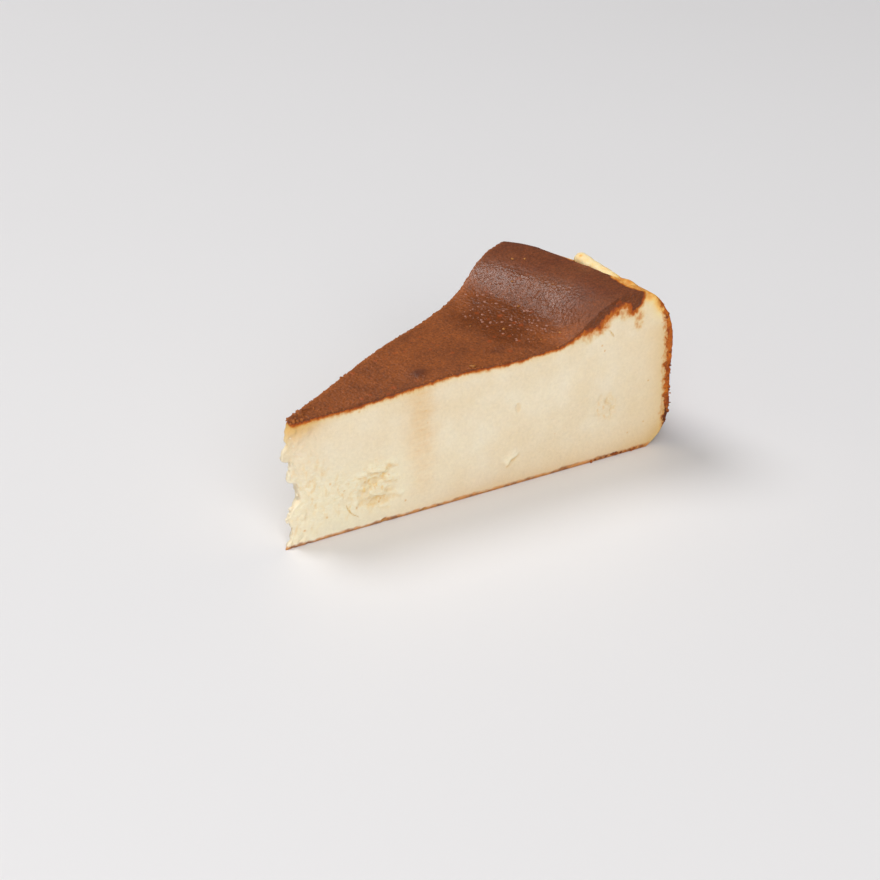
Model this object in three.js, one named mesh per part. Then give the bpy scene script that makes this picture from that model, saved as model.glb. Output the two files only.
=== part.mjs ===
// One slice of a burnt Basque cheesecake, cut from a round cake baked in a paper-lined tin.
//
// The slice is a single solid. It is worked out as a box whose three directions are bent into the cake's own:
// outwards from the cake's centre, round the cake from one cut to the other, and up from the base.
// Millimetres, +Z up. +X runs along the middle of the slice, from its point to its outer wall, and the
// origin is the middle of the bounding box, on the flat base.

import * as THREE from "three";

const { degToRad, lerp, smoothstep } = THREE.MathUtils;

// Driving dimensions, in mm and degrees.
const CAKE_RADIUS = 118; // half of a 24 cm tin, less the baking paper and a little shrinkage
const SLICE_ANGLE = 28.4; // between the two cuts, a little under a twelfth of the cake
const CREST_HEIGHT = { near: 47.7, far: 46.9 }; // the raised rim, at the two cuts
const CREST_INSET = 11.5; // from the outer wall in to the top of the rim
const TIP_RADIUS = 1.6; // from the cake's centre to the blunt point of the slice

// The browned top inside the rim: level halfway along, lower towards the point.
const PLATEAU_HEIGHT = 37.8;
const FAR_RISE = 0.9; // how much higher the top runs at the far cut (turn = +1) than at the near one (turn = -1)
const SAG = { depth: 2, from: 10, to: 55 };
const MOAT = { radius: 65.5, depth: 0.75, width: 9.3 }; // shallow dip before the rim starts to rise
const RIM_START = { near: 79.5, far: 76 };
const RIM_WIDTH = { near: 23, far: 25 };

// The outer wall: a rounded foot, a side that leans in slightly, and an elliptical shoulder up to the crest.
const FOOT = { height: 12, inset: 7.1, cornerInset: 0.6, cornerHeight: 4 };
const SHOULDER_START = 29;
const WALL_LEAN = 0.4;

// A fold that the baking paper left along the outside of the crest: blunt at one end (start), soon lower (low)
// and gone before the near cut (end to gone). Its ends are turns, and its band runs up the wall by levels.
const FOLD = {
  radius: 110,
  width: 1.7,
  height: 2.5,
  start: 0.13,
  blunt: 0.07,
  low: -0.25,
  lowShare: 0.12,
  end: -0.8,
  gone: -1,
  fromLevel: 0.85,
  toLevel: 0.95,
};

// Bites out of the crumbly point (depth > 0) and curds that stand out of it (depth < 0), by share of height.
const TIP_CRUMBS = [
  { level: 1.0, depth: 0.8, width: 0.09 },
  { level: 0.7, depth: -0.9, width: 0.06 },
  { level: 0.51, depth: -0.6, width: 0.04 },
  { level: 0.36, depth: 2.4, width: 0.08 },
  { level: 0.24, depth: -1.0, width: 0.05 },
  { level: 0.0, depth: -1.0, width: 0.06 },
];

// The knife's path: each cut swells a little at mid height, and waves along and up the slice.
const CUT = { bulge: 0.25, wave: 0.35, wavesUp: 1.3, waveLength: 69, waveSlant: 157, calmNearPoint: 14 };

// How finely the surface is divided.
const STEPS_OUT = 46;
const STEPS_ROUND = 18;
const STEPS_UP = 18;

const TURN = 2 * Math.PI;
const bell = (x, centre, width) => Math.exp(-(((x - centre) / width) ** 2));

// The wall's outline in the plane of (distance from the cake's centre, height), from base to crest.
function wallOutline() {
  const outline = new THREE.Path();
  outline.moveTo(CAKE_RADIUS - FOOT.inset, 0);
  outline.quadraticCurveTo(CAKE_RADIUS - FOOT.cornerInset, FOOT.cornerHeight, CAKE_RADIUS, FOOT.height);
  outline.lineTo(CAKE_RADIUS - WALL_LEAN, SHOULDER_START);
  outline.absellipse(
    CAKE_RADIUS - CREST_INSET,
    SHOULDER_START,
    CREST_INSET - WALL_LEAN,
    CREST_HEIGHT.near - SHOULDER_START,
    0,
    Math.PI / 2,
  );
  return outline.getSpacedPoints(STEPS_UP);
}

// Height of the browned top, at a distance from the centre and a turn from -1 (near cut) to +1 (far cut).
function topHeight(radius, turn) {
  const far = (turn + 1) / 2;
  const rimStart = lerp(RIM_START.near, RIM_START.far, far);
  const rimWidth = lerp(RIM_WIDTH.near, RIM_WIDTH.far, far);
  const sag = SAG.depth * (1 - smoothstep(radius, SAG.from, SAG.to));
  const moat = MOAT.depth * bell(radius, MOAT.radius, MOAT.width);
  const middle = PLATEAU_HEIGHT + FAR_RISE * far - sag - moat;
  const crest = lerp(CREST_HEIGHT.near, CREST_HEIGHT.far, far);
  return lerp(middle, crest, smoothstep(radius, rimStart, rimStart + rimWidth));
}

// Extra height of the paper fold: a ridge along the crest's outside, between its two ends.
function foldHeight(radius, turn, level) {
  const bluntEnd = smoothstep(FOLD.start - turn, 0, FOLD.blunt);
  const lowPart = lerp(FOLD.lowShare, 1, smoothstep(turn, FOLD.low, FOLD.start));
  const fadingEnd = smoothstep(turn, FOLD.gone, FOLD.end);
  const alongCrest = bell(radius, FOLD.radius, FOLD.width) * smoothstep(level, FOLD.fromLevel, FOLD.toLevel);
  return FOLD.height * bluntEnd * lowPart * fadingEnd * alongCrest;
}

// Distance from the centre to the ragged point, by share of the height.
function tipRadius(level) {
  const crumbs = TIP_CRUMBS.map((crumb) => crumb.depth * bell(level, crumb.level, crumb.width));
  return crumbs.reduce((sum, depth) => sum + depth, TIP_RADIUS);
}

// Sideways swelling of the cuts: nothing at the top and base edges, most at mid height.
function cutSwell(radius, level) {
  const along = Math.sin((TURN * radius) / CUT.waveLength);
  const upwards = Math.sin(TURN * (CUT.wavesUp * level + radius / CUT.waveSlant));
  const midHeight = Math.sin(Math.PI * level);
  return (CUT.bulge + CUT.wave * along * upwards) * midHeight * smoothstep(radius, 0, CUT.calmNearPoint);
}

// Carries a point of the unit box into the slice.
function bendIntoSlice(point, wall) {
  const out = point.x + 0.5;
  const turn = 2 * point.y;
  const step = wall[Math.round((point.z + 0.5) * STEPS_UP)];
  const level = step.y / CREST_HEIGHT.near;
  const radius = lerp(tipRadius(level), step.x, out);
  const angle = degToRad(SLICE_ANGLE / 2) * turn;
  const sideways = cutSwell(radius, level) * turn ** 3;
  return new THREE.Vector3(
    radius * Math.cos(angle),
    radius * Math.sin(angle) + sideways,
    level * topHeight(radius, turn) + foldHeight(radius, turn, level),
  );
}

function sliceGeometry() {
  const geometry = new THREE.BoxGeometry(1, 1, 1, STEPS_OUT, STEPS_ROUND, STEPS_UP);
  const wall = wallOutline();
  const position = geometry.getAttribute("position");
  const point = new THREE.Vector3();
  for (let i = 0; i < position.count; i++) {
    const bent = bendIntoSlice(point.fromBufferAttribute(position, i), wall);
    position.setXYZ(i, bent.x, bent.y, bent.z);
  }
  geometry.computeBoundingBox();
  const middle = geometry.boundingBox.getCenter(new THREE.Vector3());
  geometry.translate(-middle.x, -middle.y, 0);
  geometry.computeVertexNormals();
  return geometry;
}

const custard = new THREE.MeshStandardMaterial({ color: 0xe8d8bb, roughness: 0.6, metalness: 0 });

const slice = new THREE.Mesh(sliceGeometry(), custard);
slice.name = "cheesecake_slice";

const part = new THREE.Group();
part.add(slice);

export default part;
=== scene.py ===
import math

import bpy
import numpy as np
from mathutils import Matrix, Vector


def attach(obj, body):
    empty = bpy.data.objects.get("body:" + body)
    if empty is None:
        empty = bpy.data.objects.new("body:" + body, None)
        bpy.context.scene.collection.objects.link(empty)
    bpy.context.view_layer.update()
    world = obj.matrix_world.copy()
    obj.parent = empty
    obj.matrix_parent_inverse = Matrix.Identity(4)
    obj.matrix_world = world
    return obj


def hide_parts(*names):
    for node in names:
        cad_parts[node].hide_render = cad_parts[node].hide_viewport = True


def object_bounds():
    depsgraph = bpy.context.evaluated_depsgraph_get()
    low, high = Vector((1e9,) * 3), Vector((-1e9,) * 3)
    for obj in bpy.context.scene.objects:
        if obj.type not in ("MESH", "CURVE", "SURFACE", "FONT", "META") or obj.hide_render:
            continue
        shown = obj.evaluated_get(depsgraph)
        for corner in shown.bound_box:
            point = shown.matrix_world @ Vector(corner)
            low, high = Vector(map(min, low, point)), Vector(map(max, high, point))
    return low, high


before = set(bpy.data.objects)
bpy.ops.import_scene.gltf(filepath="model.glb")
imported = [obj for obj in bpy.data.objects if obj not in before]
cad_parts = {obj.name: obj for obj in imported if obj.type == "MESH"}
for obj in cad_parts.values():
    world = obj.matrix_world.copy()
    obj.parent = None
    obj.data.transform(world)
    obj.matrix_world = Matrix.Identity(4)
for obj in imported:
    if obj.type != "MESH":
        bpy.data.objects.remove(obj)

cadLow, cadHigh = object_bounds()
metre = 0.001  # shapes are worked out in millimetres and put into Blender in metres
floorGap = 0.02  # mm that keep loose crumbs and rough edges off the floor
custardIor = 1.4  # between water and fat

# The slice, in mm and degrees.
sliceShape = {
    "cakeRadius": 118.0,  # half of a 24 cm tin, less the baking paper and a little shrinkage
    "sliceAngle": 28.4,
    "bluntness": 1.5,  # half thickness of the point over the sine of half its angle
    # The browned top's outline along each cut. The sag towards the point is its depth and the radii it fades
    # between, and the rim is the first and last radius of its rise, with the share of its steep part.
    "near": {
        "plateau": 37.8, "sag": (2.0, 10.0, 55.0), "dip": 0.75, "rim": (79.5, 102.5, 0.08), "crest": 47.7,
    },
    "far": {
        "plateau": 38.3, "sag": (2.0, 3.0, 42.0), "dip": 0.25, "rim": (74.0, 102.0, 0.2), "crest": 45.95,
    },
    "dipPlace": (65.5, 9.3),  # radius and width
    "steepPart": (84.5, 94.5),
    "crestSwell": (0.74, 0.3, 0.85),  # turn, half width as a turn, and height of a swell along the crest
    "swellRise": (88.0, 102.0),
    # the wall's section
    "crestInset": 11.5,
    "foot": (7.1, 0.6, 4.0, 12.0),  # inset at the base, inset and height of the corner, height where it ends
    "shoulderStart": 29.0,
    "wallLean": 0.4,
    "cells": (284, 104, 94),  # outwards, round and upwards, about 0.4 mm each
    "baseColumns": 13,  # the flat base needs fewer
    "crowding": (1.12, 0.2, 1.15),  # how much closer the cells lie at the point, the cuts and the top
}

cakeCentre = cadHigh.x / metre - sliceShape["cakeRadius"]
halfAngle = math.radians(sliceShape["sliceAngle"] / 2)


def smoothStep(x, start, end):
    # 0 before start, 1 past end, with an S curve between
    share = np.clip((x - start) / (end - start), 0, 1)
    return share * share * (3 - 2 * share)


def blend(a, b, share):
    return a + (b - a) * share


def bell(x, centre, width):
    return np.exp(-(((x - centre) / width) ** 2))


def gradientNoise(points, cell, seed):
    # Smooth random relief of about -1 to 1: the random slopes at the eight corners of each cubic cell,
    # faded into each other with a quintic curve. cell is the size of one bump pair in mm.
    count = 24
    slopes = np.random.default_rng(seed).normal(size=(count, count, count, 3))
    slopes /= np.linalg.norm(slopes, axis=-1, keepdims=True)
    scaled = points / cell
    corner = np.floor(scaled).astype(int)
    inside = scaled - corner
    fade = inside**3 * (inside * (inside * 6 - 15) + 10)
    total = np.zeros(len(points))
    for step in np.ndindex(2, 2, 2):
        at = (corner + step) % count
        weight = np.prod(np.where(step, fade, 1 - fade), axis=1)
        total += weight * np.sum(slopes[at[:, 0], at[:, 1], at[:, 2]] * (inside - step), axis=1)
    return total * 1.6


def layeredNoise(points, layers):
    # sum of noises, each given by its height in mm, its cell in mm and its seed
    return sum(height * gradientNoise(points, cell, seed) for height, cell, seed in layers)


def segmentGap(x, y, start, end):
    # Distance in mm from each (x, y) to the line between start and end.
    alongX, alongY = end[0] - start[0], end[1] - start[1]
    share = np.clip(((x - start[0]) * alongX + (y - start[1]) * alongY) / (alongX**2 + alongY**2), 0, 1)
    return np.hypot(x - start[0] - share * alongX, y - start[1] - share * alongY)


def ovalGap(x, y, middleX, middleY, halfX, halfY):
    # 0 at the oval's middle and 1 on its outline
    return np.hypot((x - middleX) / halfX, (y - middleY) / halfY)


# The camera, three quarters from the left and a little above.
cameraSettings = {
    "azimuth": -44.18,  # degrees, 0 looks along +Y
    "elevation": 28.0,
    "distance": 564.4,  # mm to the aim
    "aim": (69.24, 15.31, 0.0),  # mm from the cake's centre
    "lens": 82.7,
}


def setCamera(settings):
    azimuth, elevation = math.radians(settings["azimuth"]), math.radians(settings["elevation"])
    back = Vector((
        math.sin(azimuth) * math.cos(elevation),
        -math.cos(azimuth) * math.cos(elevation),
        math.sin(elevation),
    ))
    aim = Vector(settings["aim"]) + Vector((cakeCentre, 0, 0))
    data = bpy.data.cameras.new("camera")
    data.lens = settings["lens"]
    data.sensor_width = 36.0
    camera = bpy.data.objects.new("camera", data)
    camera.location = (aim + back * settings["distance"]) * metre
    camera.rotation_euler = back.to_track_quat("Z", "Y").to_euler()
    bpy.context.scene.collection.objects.link(camera)
    bpy.context.scene.camera = camera


setCamera(cameraSettings)
print("camera set")


def wallOutline():
    # The wall's section from base to crest: a quadratic curve for the foot, a straight side and a quarter
    # of an ellipse for the shoulder, spaced evenly along its length. Returns radius and height.
    s = sliceShape
    inset, cornerInset, cornerHeight, footHeight = s["foot"]
    radius, lean, shoulder = s["cakeRadius"], s["wallLean"], s["shoulderStart"]
    t = np.linspace(0, 1, 240)
    footX = (1 - t) ** 2 * (radius - inset) + 2 * t * (1 - t) * (radius - cornerInset) + t**2 * radius
    footY = 2 * t * (1 - t) * cornerHeight + t**2 * footHeight
    turn = t * math.pi / 2
    x = np.concatenate([footX, radius - s["crestInset"] + (s["crestInset"] - lean) * np.cos(turn)])
    y = np.concatenate([footY, shoulder + (s["near"]["crest"] - shoulder) * np.sin(turn)])
    length = np.concatenate([[0], np.cumsum(np.hypot(np.diff(x), np.diff(y)))])
    even = np.linspace(0, length[-1], s["cells"][2] + 1)
    return np.interp(even, length, x), np.interp(even, length, y)


def topOutline(radius, side):
    # Level plateau with a sag towards the point and a dip before the rim, then an S curve up to the crest
    # with a steeper, shorter S curve mixed in.
    o = sliceShape[side]
    depth, sagFrom, sagTo = o["sag"]
    plateau = o["plateau"] - depth * (1 - smoothStep(radius, sagFrom, sagTo))
    plateau = plateau - o["dip"] * bell(radius, *sliceShape["dipPlace"])
    start, end, steep = o["rim"]
    rise = blend(smoothStep(radius, start, end), smoothStep(radius, *sliceShape["steepPart"]), steep)
    return blend(plateau, o["crest"], rise)


def topHeight(radius, turn):
    # From the near cut's outline to the far one's, evenly with the turn, and a bell of swell on the crest.
    middle, width, swell = sliceShape["crestSwell"]
    rise = swell * bell(turn, middle, width) * smoothStep(radius, *sliceShape["swellRise"])
    return blend(topOutline(radius, "near"), topOutline(radius, "far"), (turn + 1) / 2) + rise


# The swell that a crease of the baking paper left along the outside of the crest.
paperFold = {
    "radius": 109.3,
    "width": 2.3,
    "height": 1.0,
    "turns": (-0.5, -0.05, 0.0, 0.14),  # where it starts to rise, is full, starts to fall and is gone
    "levels": (0.82, 0.93),
}


def foldHeight(radius, turn, level):
    # A bell across the swell, times an S curve up and another down along it.
    f = paperFold
    start, full, falling, end = f["turns"]
    along = smoothStep(turn, start, full) * (1 - smoothStep(turn, falling, end))
    return f["height"] * along * bell(radius, f["radius"], f["width"]) * smoothStep(level, *f["levels"])


# The crumbly point. Its outline is a share of the height and mm from the cake's centre: curds stand out over
# sharp lower edges, with bites between them.
tip = {
    "outline": [
        (0.0, 0.0), (0.02, 0.4), (0.065, 1.9), (0.145, 2.3), (0.24, 0.7), (0.3, 2.3), (0.36, 5.0),
        (0.43, 4.6), (0.51, 3.8), (0.53, 1.1), (0.64, 2.3), (0.69, 1.9), (0.705, -0.4), (0.76, -0.3),
        (0.82, 1.5), (0.855, 0.7), (0.94, 1.9), (1.0, 2.4),
    ],
    "ragged": (0.35, 2.4),  # depth and size in mm
    "nicks": (0.4, 1.1),
    "curds": [(1.0, 3.0), (0.5, 1.5)],  # the same, for round lumps
    "curdSunk": 0.35,
    "curdLimit": 0.3,  # the deepest crease, as a share of the half thickness
    "curdReach": (2, 14),  # full to none, in mm from the cake's centre
}


def tipRadius(level):
    # The outline, with a ragged noise added and the folds of a finer one cut in.
    along = np.stack([level * 38, level * 0 + 3.3, level * 0 + 7.1], axis=1)
    (ragged, raggedSize), (nick, nickSize) = tip["ragged"], tip["nicks"]
    wander = ragged * gradientNoise(along, raggedSize, 11) - nick * np.abs(gradientNoise(along, nickSize, 12))
    return np.interp(level, *zip(*tip["outline"])) + wander


# The knife's path: each cut swells a little at mid height, and waves along and up the slice.
knifePath = {"bulge": 0.25, "wave": 0.35, "wavesUp": 1.3, "waveLength": 69, "waveSlant": 157, "calm": 14}


def cutSwell(radius, level):
    k = knifePath
    wave = np.sin(math.tau * radius / k["waveLength"])
    wave = wave * np.sin(math.tau * (k["wavesUp"] * level + radius / k["waveSlant"]))
    return (k["bulge"] + k["wave"] * wave) * np.sin(math.pi * level) * smoothStep(radius, 0, k["calm"])


# What the near cut and the far cut show, in mm from the cake's centre and mm up.
# flakes: shingles of custard lifted along their lower edges, as place, length, width, slope and lift
# hollows, torn: middle, half widths, and depth or strength
# pits, notches: middle and half widths. A pit is a cluster, and a notch is bitten out at the base.
# cracks and the dark lines inside the notches, which are painted shade: from and to. specks: place
# bleeds: browning that ran down from the skin, as from, to, half width and how faint its middle is
# warmBand: middle and half width of an upright smear of browned fat
# smear: middle, half width and mm of skin that the knife dragged down
# paler low down near the point: how much, as painted light bounced from the floor
cutMarks = {
    "near": {
        "flakes": [
            (26.6, 16.8, 5.6, 3.0, -12, 0.8),
            (26.6, 10.1, 4.8, 2.4, -12, 0.7),
            (22.3, 15.6, 3.2, 1.2, -14, 0.35),
            (30.6, 13.0, 4.0, 1.8, -17, 0.35),
            (22.4, 11.8, 2.6, 1.6, -20, 0.35),
            (31.0, 17.6, 3.4, 2.0, -14, 0.3),
            (32.0, 8.2, 4.6, 1.4, -15, 0.25),
            (29.0, 5.4, 3.0, 1.2, -8, 0.25),
            (66.0, 9.4, 4.8, 3.4, 35, 0.5),
            (40.5, 30.0, 6.5, 1.0, -6, 0.12),
        ],
        "hollows": [
            (25.6, 12.9, 3.4, 1.2, 0.55),
            (25.4, 6.9, 5.6, 1.4, 0.5),
            (21.6, 9.4, 1.2, 3.6, 0.25),
            (29.6, 9.4, 2.2, 1.0, 0.25),
            (68.6, 23.0, 0.8, 1.5, 0.4),
            (84.0, 0.9, 1.4, 0.8, 0.2),
        ],
        "torn": [(26.0, 11.6, 8.0, 9.0, 1.0), (16.5, 11.0, 7.0, 9.0, 0.7), (8.0, 14.0, 7.0, 14.0, 0.6)],
        "pits": [(96.5, 16.0, 4.6, 5.0)],
        "cracks": [
            ((17.2, 8.0), (17.7, 6.6)), ((17.7, 6.6), (18.7, 5.2)), ((18.7, 5.2), (20.6, 3.7)),
            ((96.9, 38.7), (98.5, 36.6)),
        ],
        "specks": [
            (104.3, 6.1), (109.4, 8.4), (110.5, 20.6), (95.6, 33.1), (94.8, 34.7), (13.0, 15.4), (11.6, 6.2),
            (21.6, 33.8), (27.4, 7.2), (26.9, 6.3), (16.8, 12.4), (20.2, 6.4), (5.4, 4.0), (34.6, 4.6),
            (22.9, 13.2),
        ],
        "notches": [(28.4, 0.5, 1.1, 0.7), (40.2, 0.4, 0.9, 0.4)],
        "notchShades": [((27.4, 0.3), (29.0, 0.8)), ((39.7, 0.4), (40.8, 0.6))],
        "bleeds": [
            ((101.6, 47.2), (106.0, 46.7), 0.6, 0.0),
            ((105.5, 46.2), (105.2, 45.0), 0.9, 0.0),
            ((104.8, 44.5), (104.3, 43.7), 0.3, 0.5),
            ((102.9, 44.6), (103.2, 43.4), 0.4, 1.3),
            ((106.7, 41.0), (106.7, 40.7), 0.15, 1.9),
            ((85.0, 38.9), (92.4, 42.0), 0.3, 0.75),
            ((92.4, 42.0), (97.8, 46.2), 0.5, 0.75),
            ((97.6, 45.4), (100.8, 45.6), 0.4, 0.85),
        ],
        "warmBand": (39.5, 4.2),
        "paintedFloorLight": 0.75,
        "smear": (94.5, 5.2, 1.7),
        "seed": 40,
    },
    "far": {
        "flakes": [
            (38.0, 20.0, 6.0, 3.0, -10, 0.45),
            (44.0, 14.0, 5.0, 2.2, -14, 0.4),
            (80.0, 27.0, 5.0, 2.0, -20, 0.25),
        ],
        "hollows": [(40.0, 15.6, 4.0, 1.8, 0.5), (74.0, 9.0, 3.0, 1.5, 0.4)],
        "torn": [(41.0, 16.0, 8.0, 7.0, 0.9), (8.0, 14.0, 9.0, 15.0, 0.5), (77.0, 12.0, 6.0, 6.0, 0.4)],
        "pits": [(58.0, 24.0, 5.0, 5.0), (99.0, 12.0, 4.0, 4.0)],
        "cracks": [((52.0, 6.0), (55.0, 3.0)), ((88.0, 33.0), (90.0, 30.5))],
        "specks": [(70.0, 30.0), (64.0, 12.0), (96.0, 24.0), (30.0, 26.0), (108.0, 15.0)],
        "notches": [(61.0, 0.6, 1.6, 0.8), (92.0, 0.6, 1.8, 0.7)],
        "notchShades": [((60.4, 0.4), (62.0, 0.7))],
        "bleeds": [((58.5, 36.8), (59.5, 35.4), 0.3, 1.6), ((101.0, 44.8), (104.0, 44.2), 0.3, 1.2)],
        "warmBand": (84.0, 6.0),
        "paintedFloorLight": 0.4,
        "smear": (60.0, 5.0, 0.9),
        "seed": 60,
    },
}

# How the cuts' marks stand out, in mm, and how strongly they are tinted.
cutTexture = {
    "broad": (0.06, 5.0),  # height and size of the cut's own unevenness
    "fine": (0.035, 1.3),
    "shreds": (0.14, 0.9),
    "shredDrawn": (0.28, 0.06),  # they run along the tear: squeezed outwards, and slanted
    "bites": (0.12, 1.5),
    "biteDrawn": 0.55,
    "pits": 0.4,
    "notches": 0.6,
    "cracks": 0.05,
    "paintedFloorLightReach": ((22, 62), (10, 26)),  # painted light from the floor: full to none outwards, and full to none upwards
}


def flakeLift(radius, height, flake, wobble):
    # Across a shingle the lift climbs from nothing at its top to full at its torn lower edge, and fades at
    # its ends. Also returns a line of painted shadow just under that edge.
    centreR, centreZ, length, width, slope, lift = flake
    tilt = math.radians(slope)
    along = (radius - centreR) * math.cos(tilt) + (height - centreZ) * math.sin(tilt)
    across = (height - centreZ) * math.cos(tilt) - (radius - centreR) * math.sin(tilt) + 0.45 * wobble
    torn = smoothStep(across, -width / 2 - 0.25, -width / 2 + 0.1)
    climb = 1 - smoothStep(across, -width / 2, width / 2)
    ends = 1 - smoothStep(np.abs(along + 0.8 * wobble), length / 2 - 0.7, length / 2 + 0.5)
    return lift * torn * climb * ends, bell(across, -width / 2 - 0.5, 0.4) * ends


def cutRelief(radius, height, marks):
    # Outward relief of a cut in mm, its ochre stain and its paleness from 0 to 1, the gaps in mm to its
    # cracks, specks and notch shades, and how torn it is. Shreds and bites are noise drawn out along the
    # tear. The ochre is partly painted shade, in the bites, hollows and pits and under the flakes, and the
    # paleness partly painted light, on the flakes and low down.
    t = cutTexture
    (broadHeight, broadSize), (fineHeight, fineSize) = t["broad"], t["fine"]
    (shredHeight, shredSize), (biteDepth, biteSize) = t["shreds"], t["bites"]
    seed = marks["seed"]
    plane = radius * 0 + seed
    flat = np.stack([radius, height, plane], axis=1)
    wobble = gradientNoise(flat, 1.8, seed + 1)
    fine = gradientNoise(flat, fineSize, seed + 3)
    relief = broadHeight * gradientNoise(flat, broadSize, seed + 2) + fineHeight * fine
    squeezed, slanted = t["shredDrawn"]
    drawn = np.stack([radius * squeezed + height * slanted, height, plane], axis=1)
    shreds = gradientNoise(drawn, shredSize, seed + 4)
    bites = gradientNoise(np.stack([radius, height * t["biteDrawn"], plane], axis=1), biteSize, seed + 5)
    bites = smoothStep(bites, 0.3, 0.6)
    stain, pale, torn = (np.zeros(len(radius)) for _ in range(3))
    # in torn parts the ochre on the shreds is stain, and the ochre in the bites is painted shade
    for *oval, strength in marks["torn"]:
        region = strength * (1 - smoothStep(ovalGap(radius, height, *oval), 0.35, 1.1))
        relief += region * (shredHeight * shreds - biteDepth * bites)
        stain += region * (0.5 * bites + 0.3 * smoothStep(shreds, 0.1, 0.6))
        pale += region * (0.3 + 0.4 * smoothStep(-shreds, 0.0, 0.5))
        torn = np.maximum(torn, region)
    # each flake gets its painted shadow in the ochre, and is painted paler as it lifts: a painted highlight
    # on its raised face
    for flake in marks["flakes"]:
        lift, shade = flakeLift(radius, height, flake, wobble)
        relief += lift - 0.3 * flake[5] * shade
        stain += shade * min(1.0, flake[5] / 0.4)
        pale += lift / flake[5] * min(1.0, flake[5] / 0.6)
    # the ochre in each hollow is painted shade
    for *oval, depth in marks["hollows"]:
        hollow = 1 - smoothStep(ovalGap(radius, height, *oval) + 0.22 * wobble, 0.55, 1.15)
        relief -= depth * hollow
        stain += hollow * min(1.0, depth / 0.5)
    # a cluster of pits gets painted shade in the pits and a painted highlight between them
    for oval in marks["pits"]:
        region = 1 - smoothStep(ovalGap(radius, height, *oval), 0.5, 1.1)
        relief -= t["pits"] * region * smoothStep(wobble + 0.3 * fine, 0.2, 0.5)
        stain += 0.6 * region * smoothStep(wobble + 0.3 * fine, 0.1, 0.6)
        pale += 0.35 * region * smoothStep(-wobble, 0.1, 0.5)
        torn = np.maximum(torn, 0.6 * region)
    for oval in marks["notches"]:
        relief -= t["notches"] * (1 - smoothStep(ovalGap(radius, height, *oval) + 0.3 * wobble, 0.4, 1.2))
    crack = np.min([segmentGap(radius + 0.25 * fine, height, *ends) for ends in marks["cracks"]], axis=0)
    speck = np.min([np.hypot(radius - x, height - y) for x, y in marks["specks"]], axis=0)
    # the dark lines inside the notches are painted shade
    notchShade = np.min([segmentGap(radius, height + 0.2 * fine, *ends) for ends in marks["notchShades"]], axis=0)
    relief -= t["cracks"] * (1 - smoothStep(crack, 0.1, 0.5))
    # painted light bounced from the floor: paler low down near the point
    outwards, upwards = t["paintedFloorLightReach"]
    pale += marks["paintedFloorLight"] * (1 - smoothStep(radius, *outwards)) * (1 - smoothStep(height, *upwards))
    return relief, np.clip(stain, 0, 1), np.clip(pale, 0, 1), crack, speck, notchShade, torn


def bleedGap(radius, height, marks, wander):
    # Gap in mm to the nearest of a cut's bleeds: how faint it is, plus the distance to its line less its
    # half width, which counts for less the fainter it is so that it has no outline.
    gaps = []
    for start, end, width, faint in marks["bleeds"]:
        gap = segmentGap(radius + 0.5 * wander, height, start, end) - width - 0.5 * wander
        gaps.append(np.maximum(gap, 0) / (1 + faint) + faint)
    return np.min(gaps, axis=0)


# Marks of the browned skin. Places are a radius in mm and a turn.
skinMarks = {
    # blisters: place, half length outwards, half width, height
    "blisters": [
        (42.1, -0.55, 2.4, 1.9, 0.5),
        (55.0, -0.93, 1.3, 0.8, 0.4),
        (81.3, 0.65, 1.6, 1.4, -0.25),
        (66.5, -0.57, 2.0, 1.2, -0.15),
        (5.5, -0.2, 1.6, 0.5, 0.5),
        (8.0, 0.35, 2.2, 0.5, 0.4),
        (3.6, 0.3, 0.9, 0.5, 0.45),
    ],
    # scorched spots: place, half length outwards, half width, how dark
    "scorches": [
        (41.6, -0.58, 2.6, 2.0, 0.75),
        (81.3, 0.65, 2.0, 1.6, 0.5),
        (66.5, -0.57, 3.0, 1.6, 0.4),
        (3.0, 0.0, 2.5, 2.0, 0.25),
    ],
    "crease": (87.3, 3.2, 0.62, 93.0, 3.2, 0.15),  # the rim's foot: radius, width and depth, then its swell
    "undulations": [(0.22, 15.0, 21), (0.07, 4.2, 22), (0.035, 1.7, 23)],  # height and size in mm, and seed
    "wrinkles": (0.22, 1.1, 3, 13),  # height and size, and the radii they fade between
    "wetZone": (79.0, 0.05, 13.0, 1.0),  # radius and turn of the glossy part's middle, then its half widths
    "wetWander": [(1.0, 7.0, 25), (0.5, 2.4, 26)],
}


def skinRelief(radius, turn, points):
    # Upward relief of the top in mm: slow undulations, each blister a bell, the crease at the rim's foot and
    # wrinkles where the skin shrank at the point. Also returns how scorched it is.
    relief = layeredNoise(points, skinMarks["undulations"])
    half = radius * halfAngle
    for centreR, centreT, length, width, height in skinMarks["blisters"]:
        relief += height * bell(radius, centreR, length) * bell((turn - centreT) * half, 0, width)
    foot, footWidth, depth, belly, bellyWidth, swell = skinMarks["crease"]
    middle = 1 - smoothStep(np.abs(turn), 0.65, 1.0)
    relief += middle * (swell * bell(radius, belly, bellyWidth) - depth * bell(radius, foot, footWidth))
    tall, size, fadeStart, fadeEnd = skinMarks["wrinkles"]
    wrinkles = gradientNoise(points * (0.45, 1.3, 1), size, 24)
    relief += tall * wrinkles * (1 - smoothStep(radius, fadeStart, fadeEnd))
    scorch = np.zeros(len(radius))
    for centreR, centreT, length, width, dark in skinMarks["scorches"]:
        scorch += dark * bell(radius, centreR, length) * bell((turn - centreT) * half, 0, width)
    return relief, scorch


def wetness(radius, turn):
    # an uneven oval that fades over its outer part
    flat = np.stack([radius, turn * 20, turn * 0 + 4.7], axis=1)
    out = ovalGap(radius, turn, *skinMarks["wetZone"])
    return 1 - smoothStep(out + 0.35 * layeredNoise(flat, skinMarks["wetWander"]), 0.3, 1.15)


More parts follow.
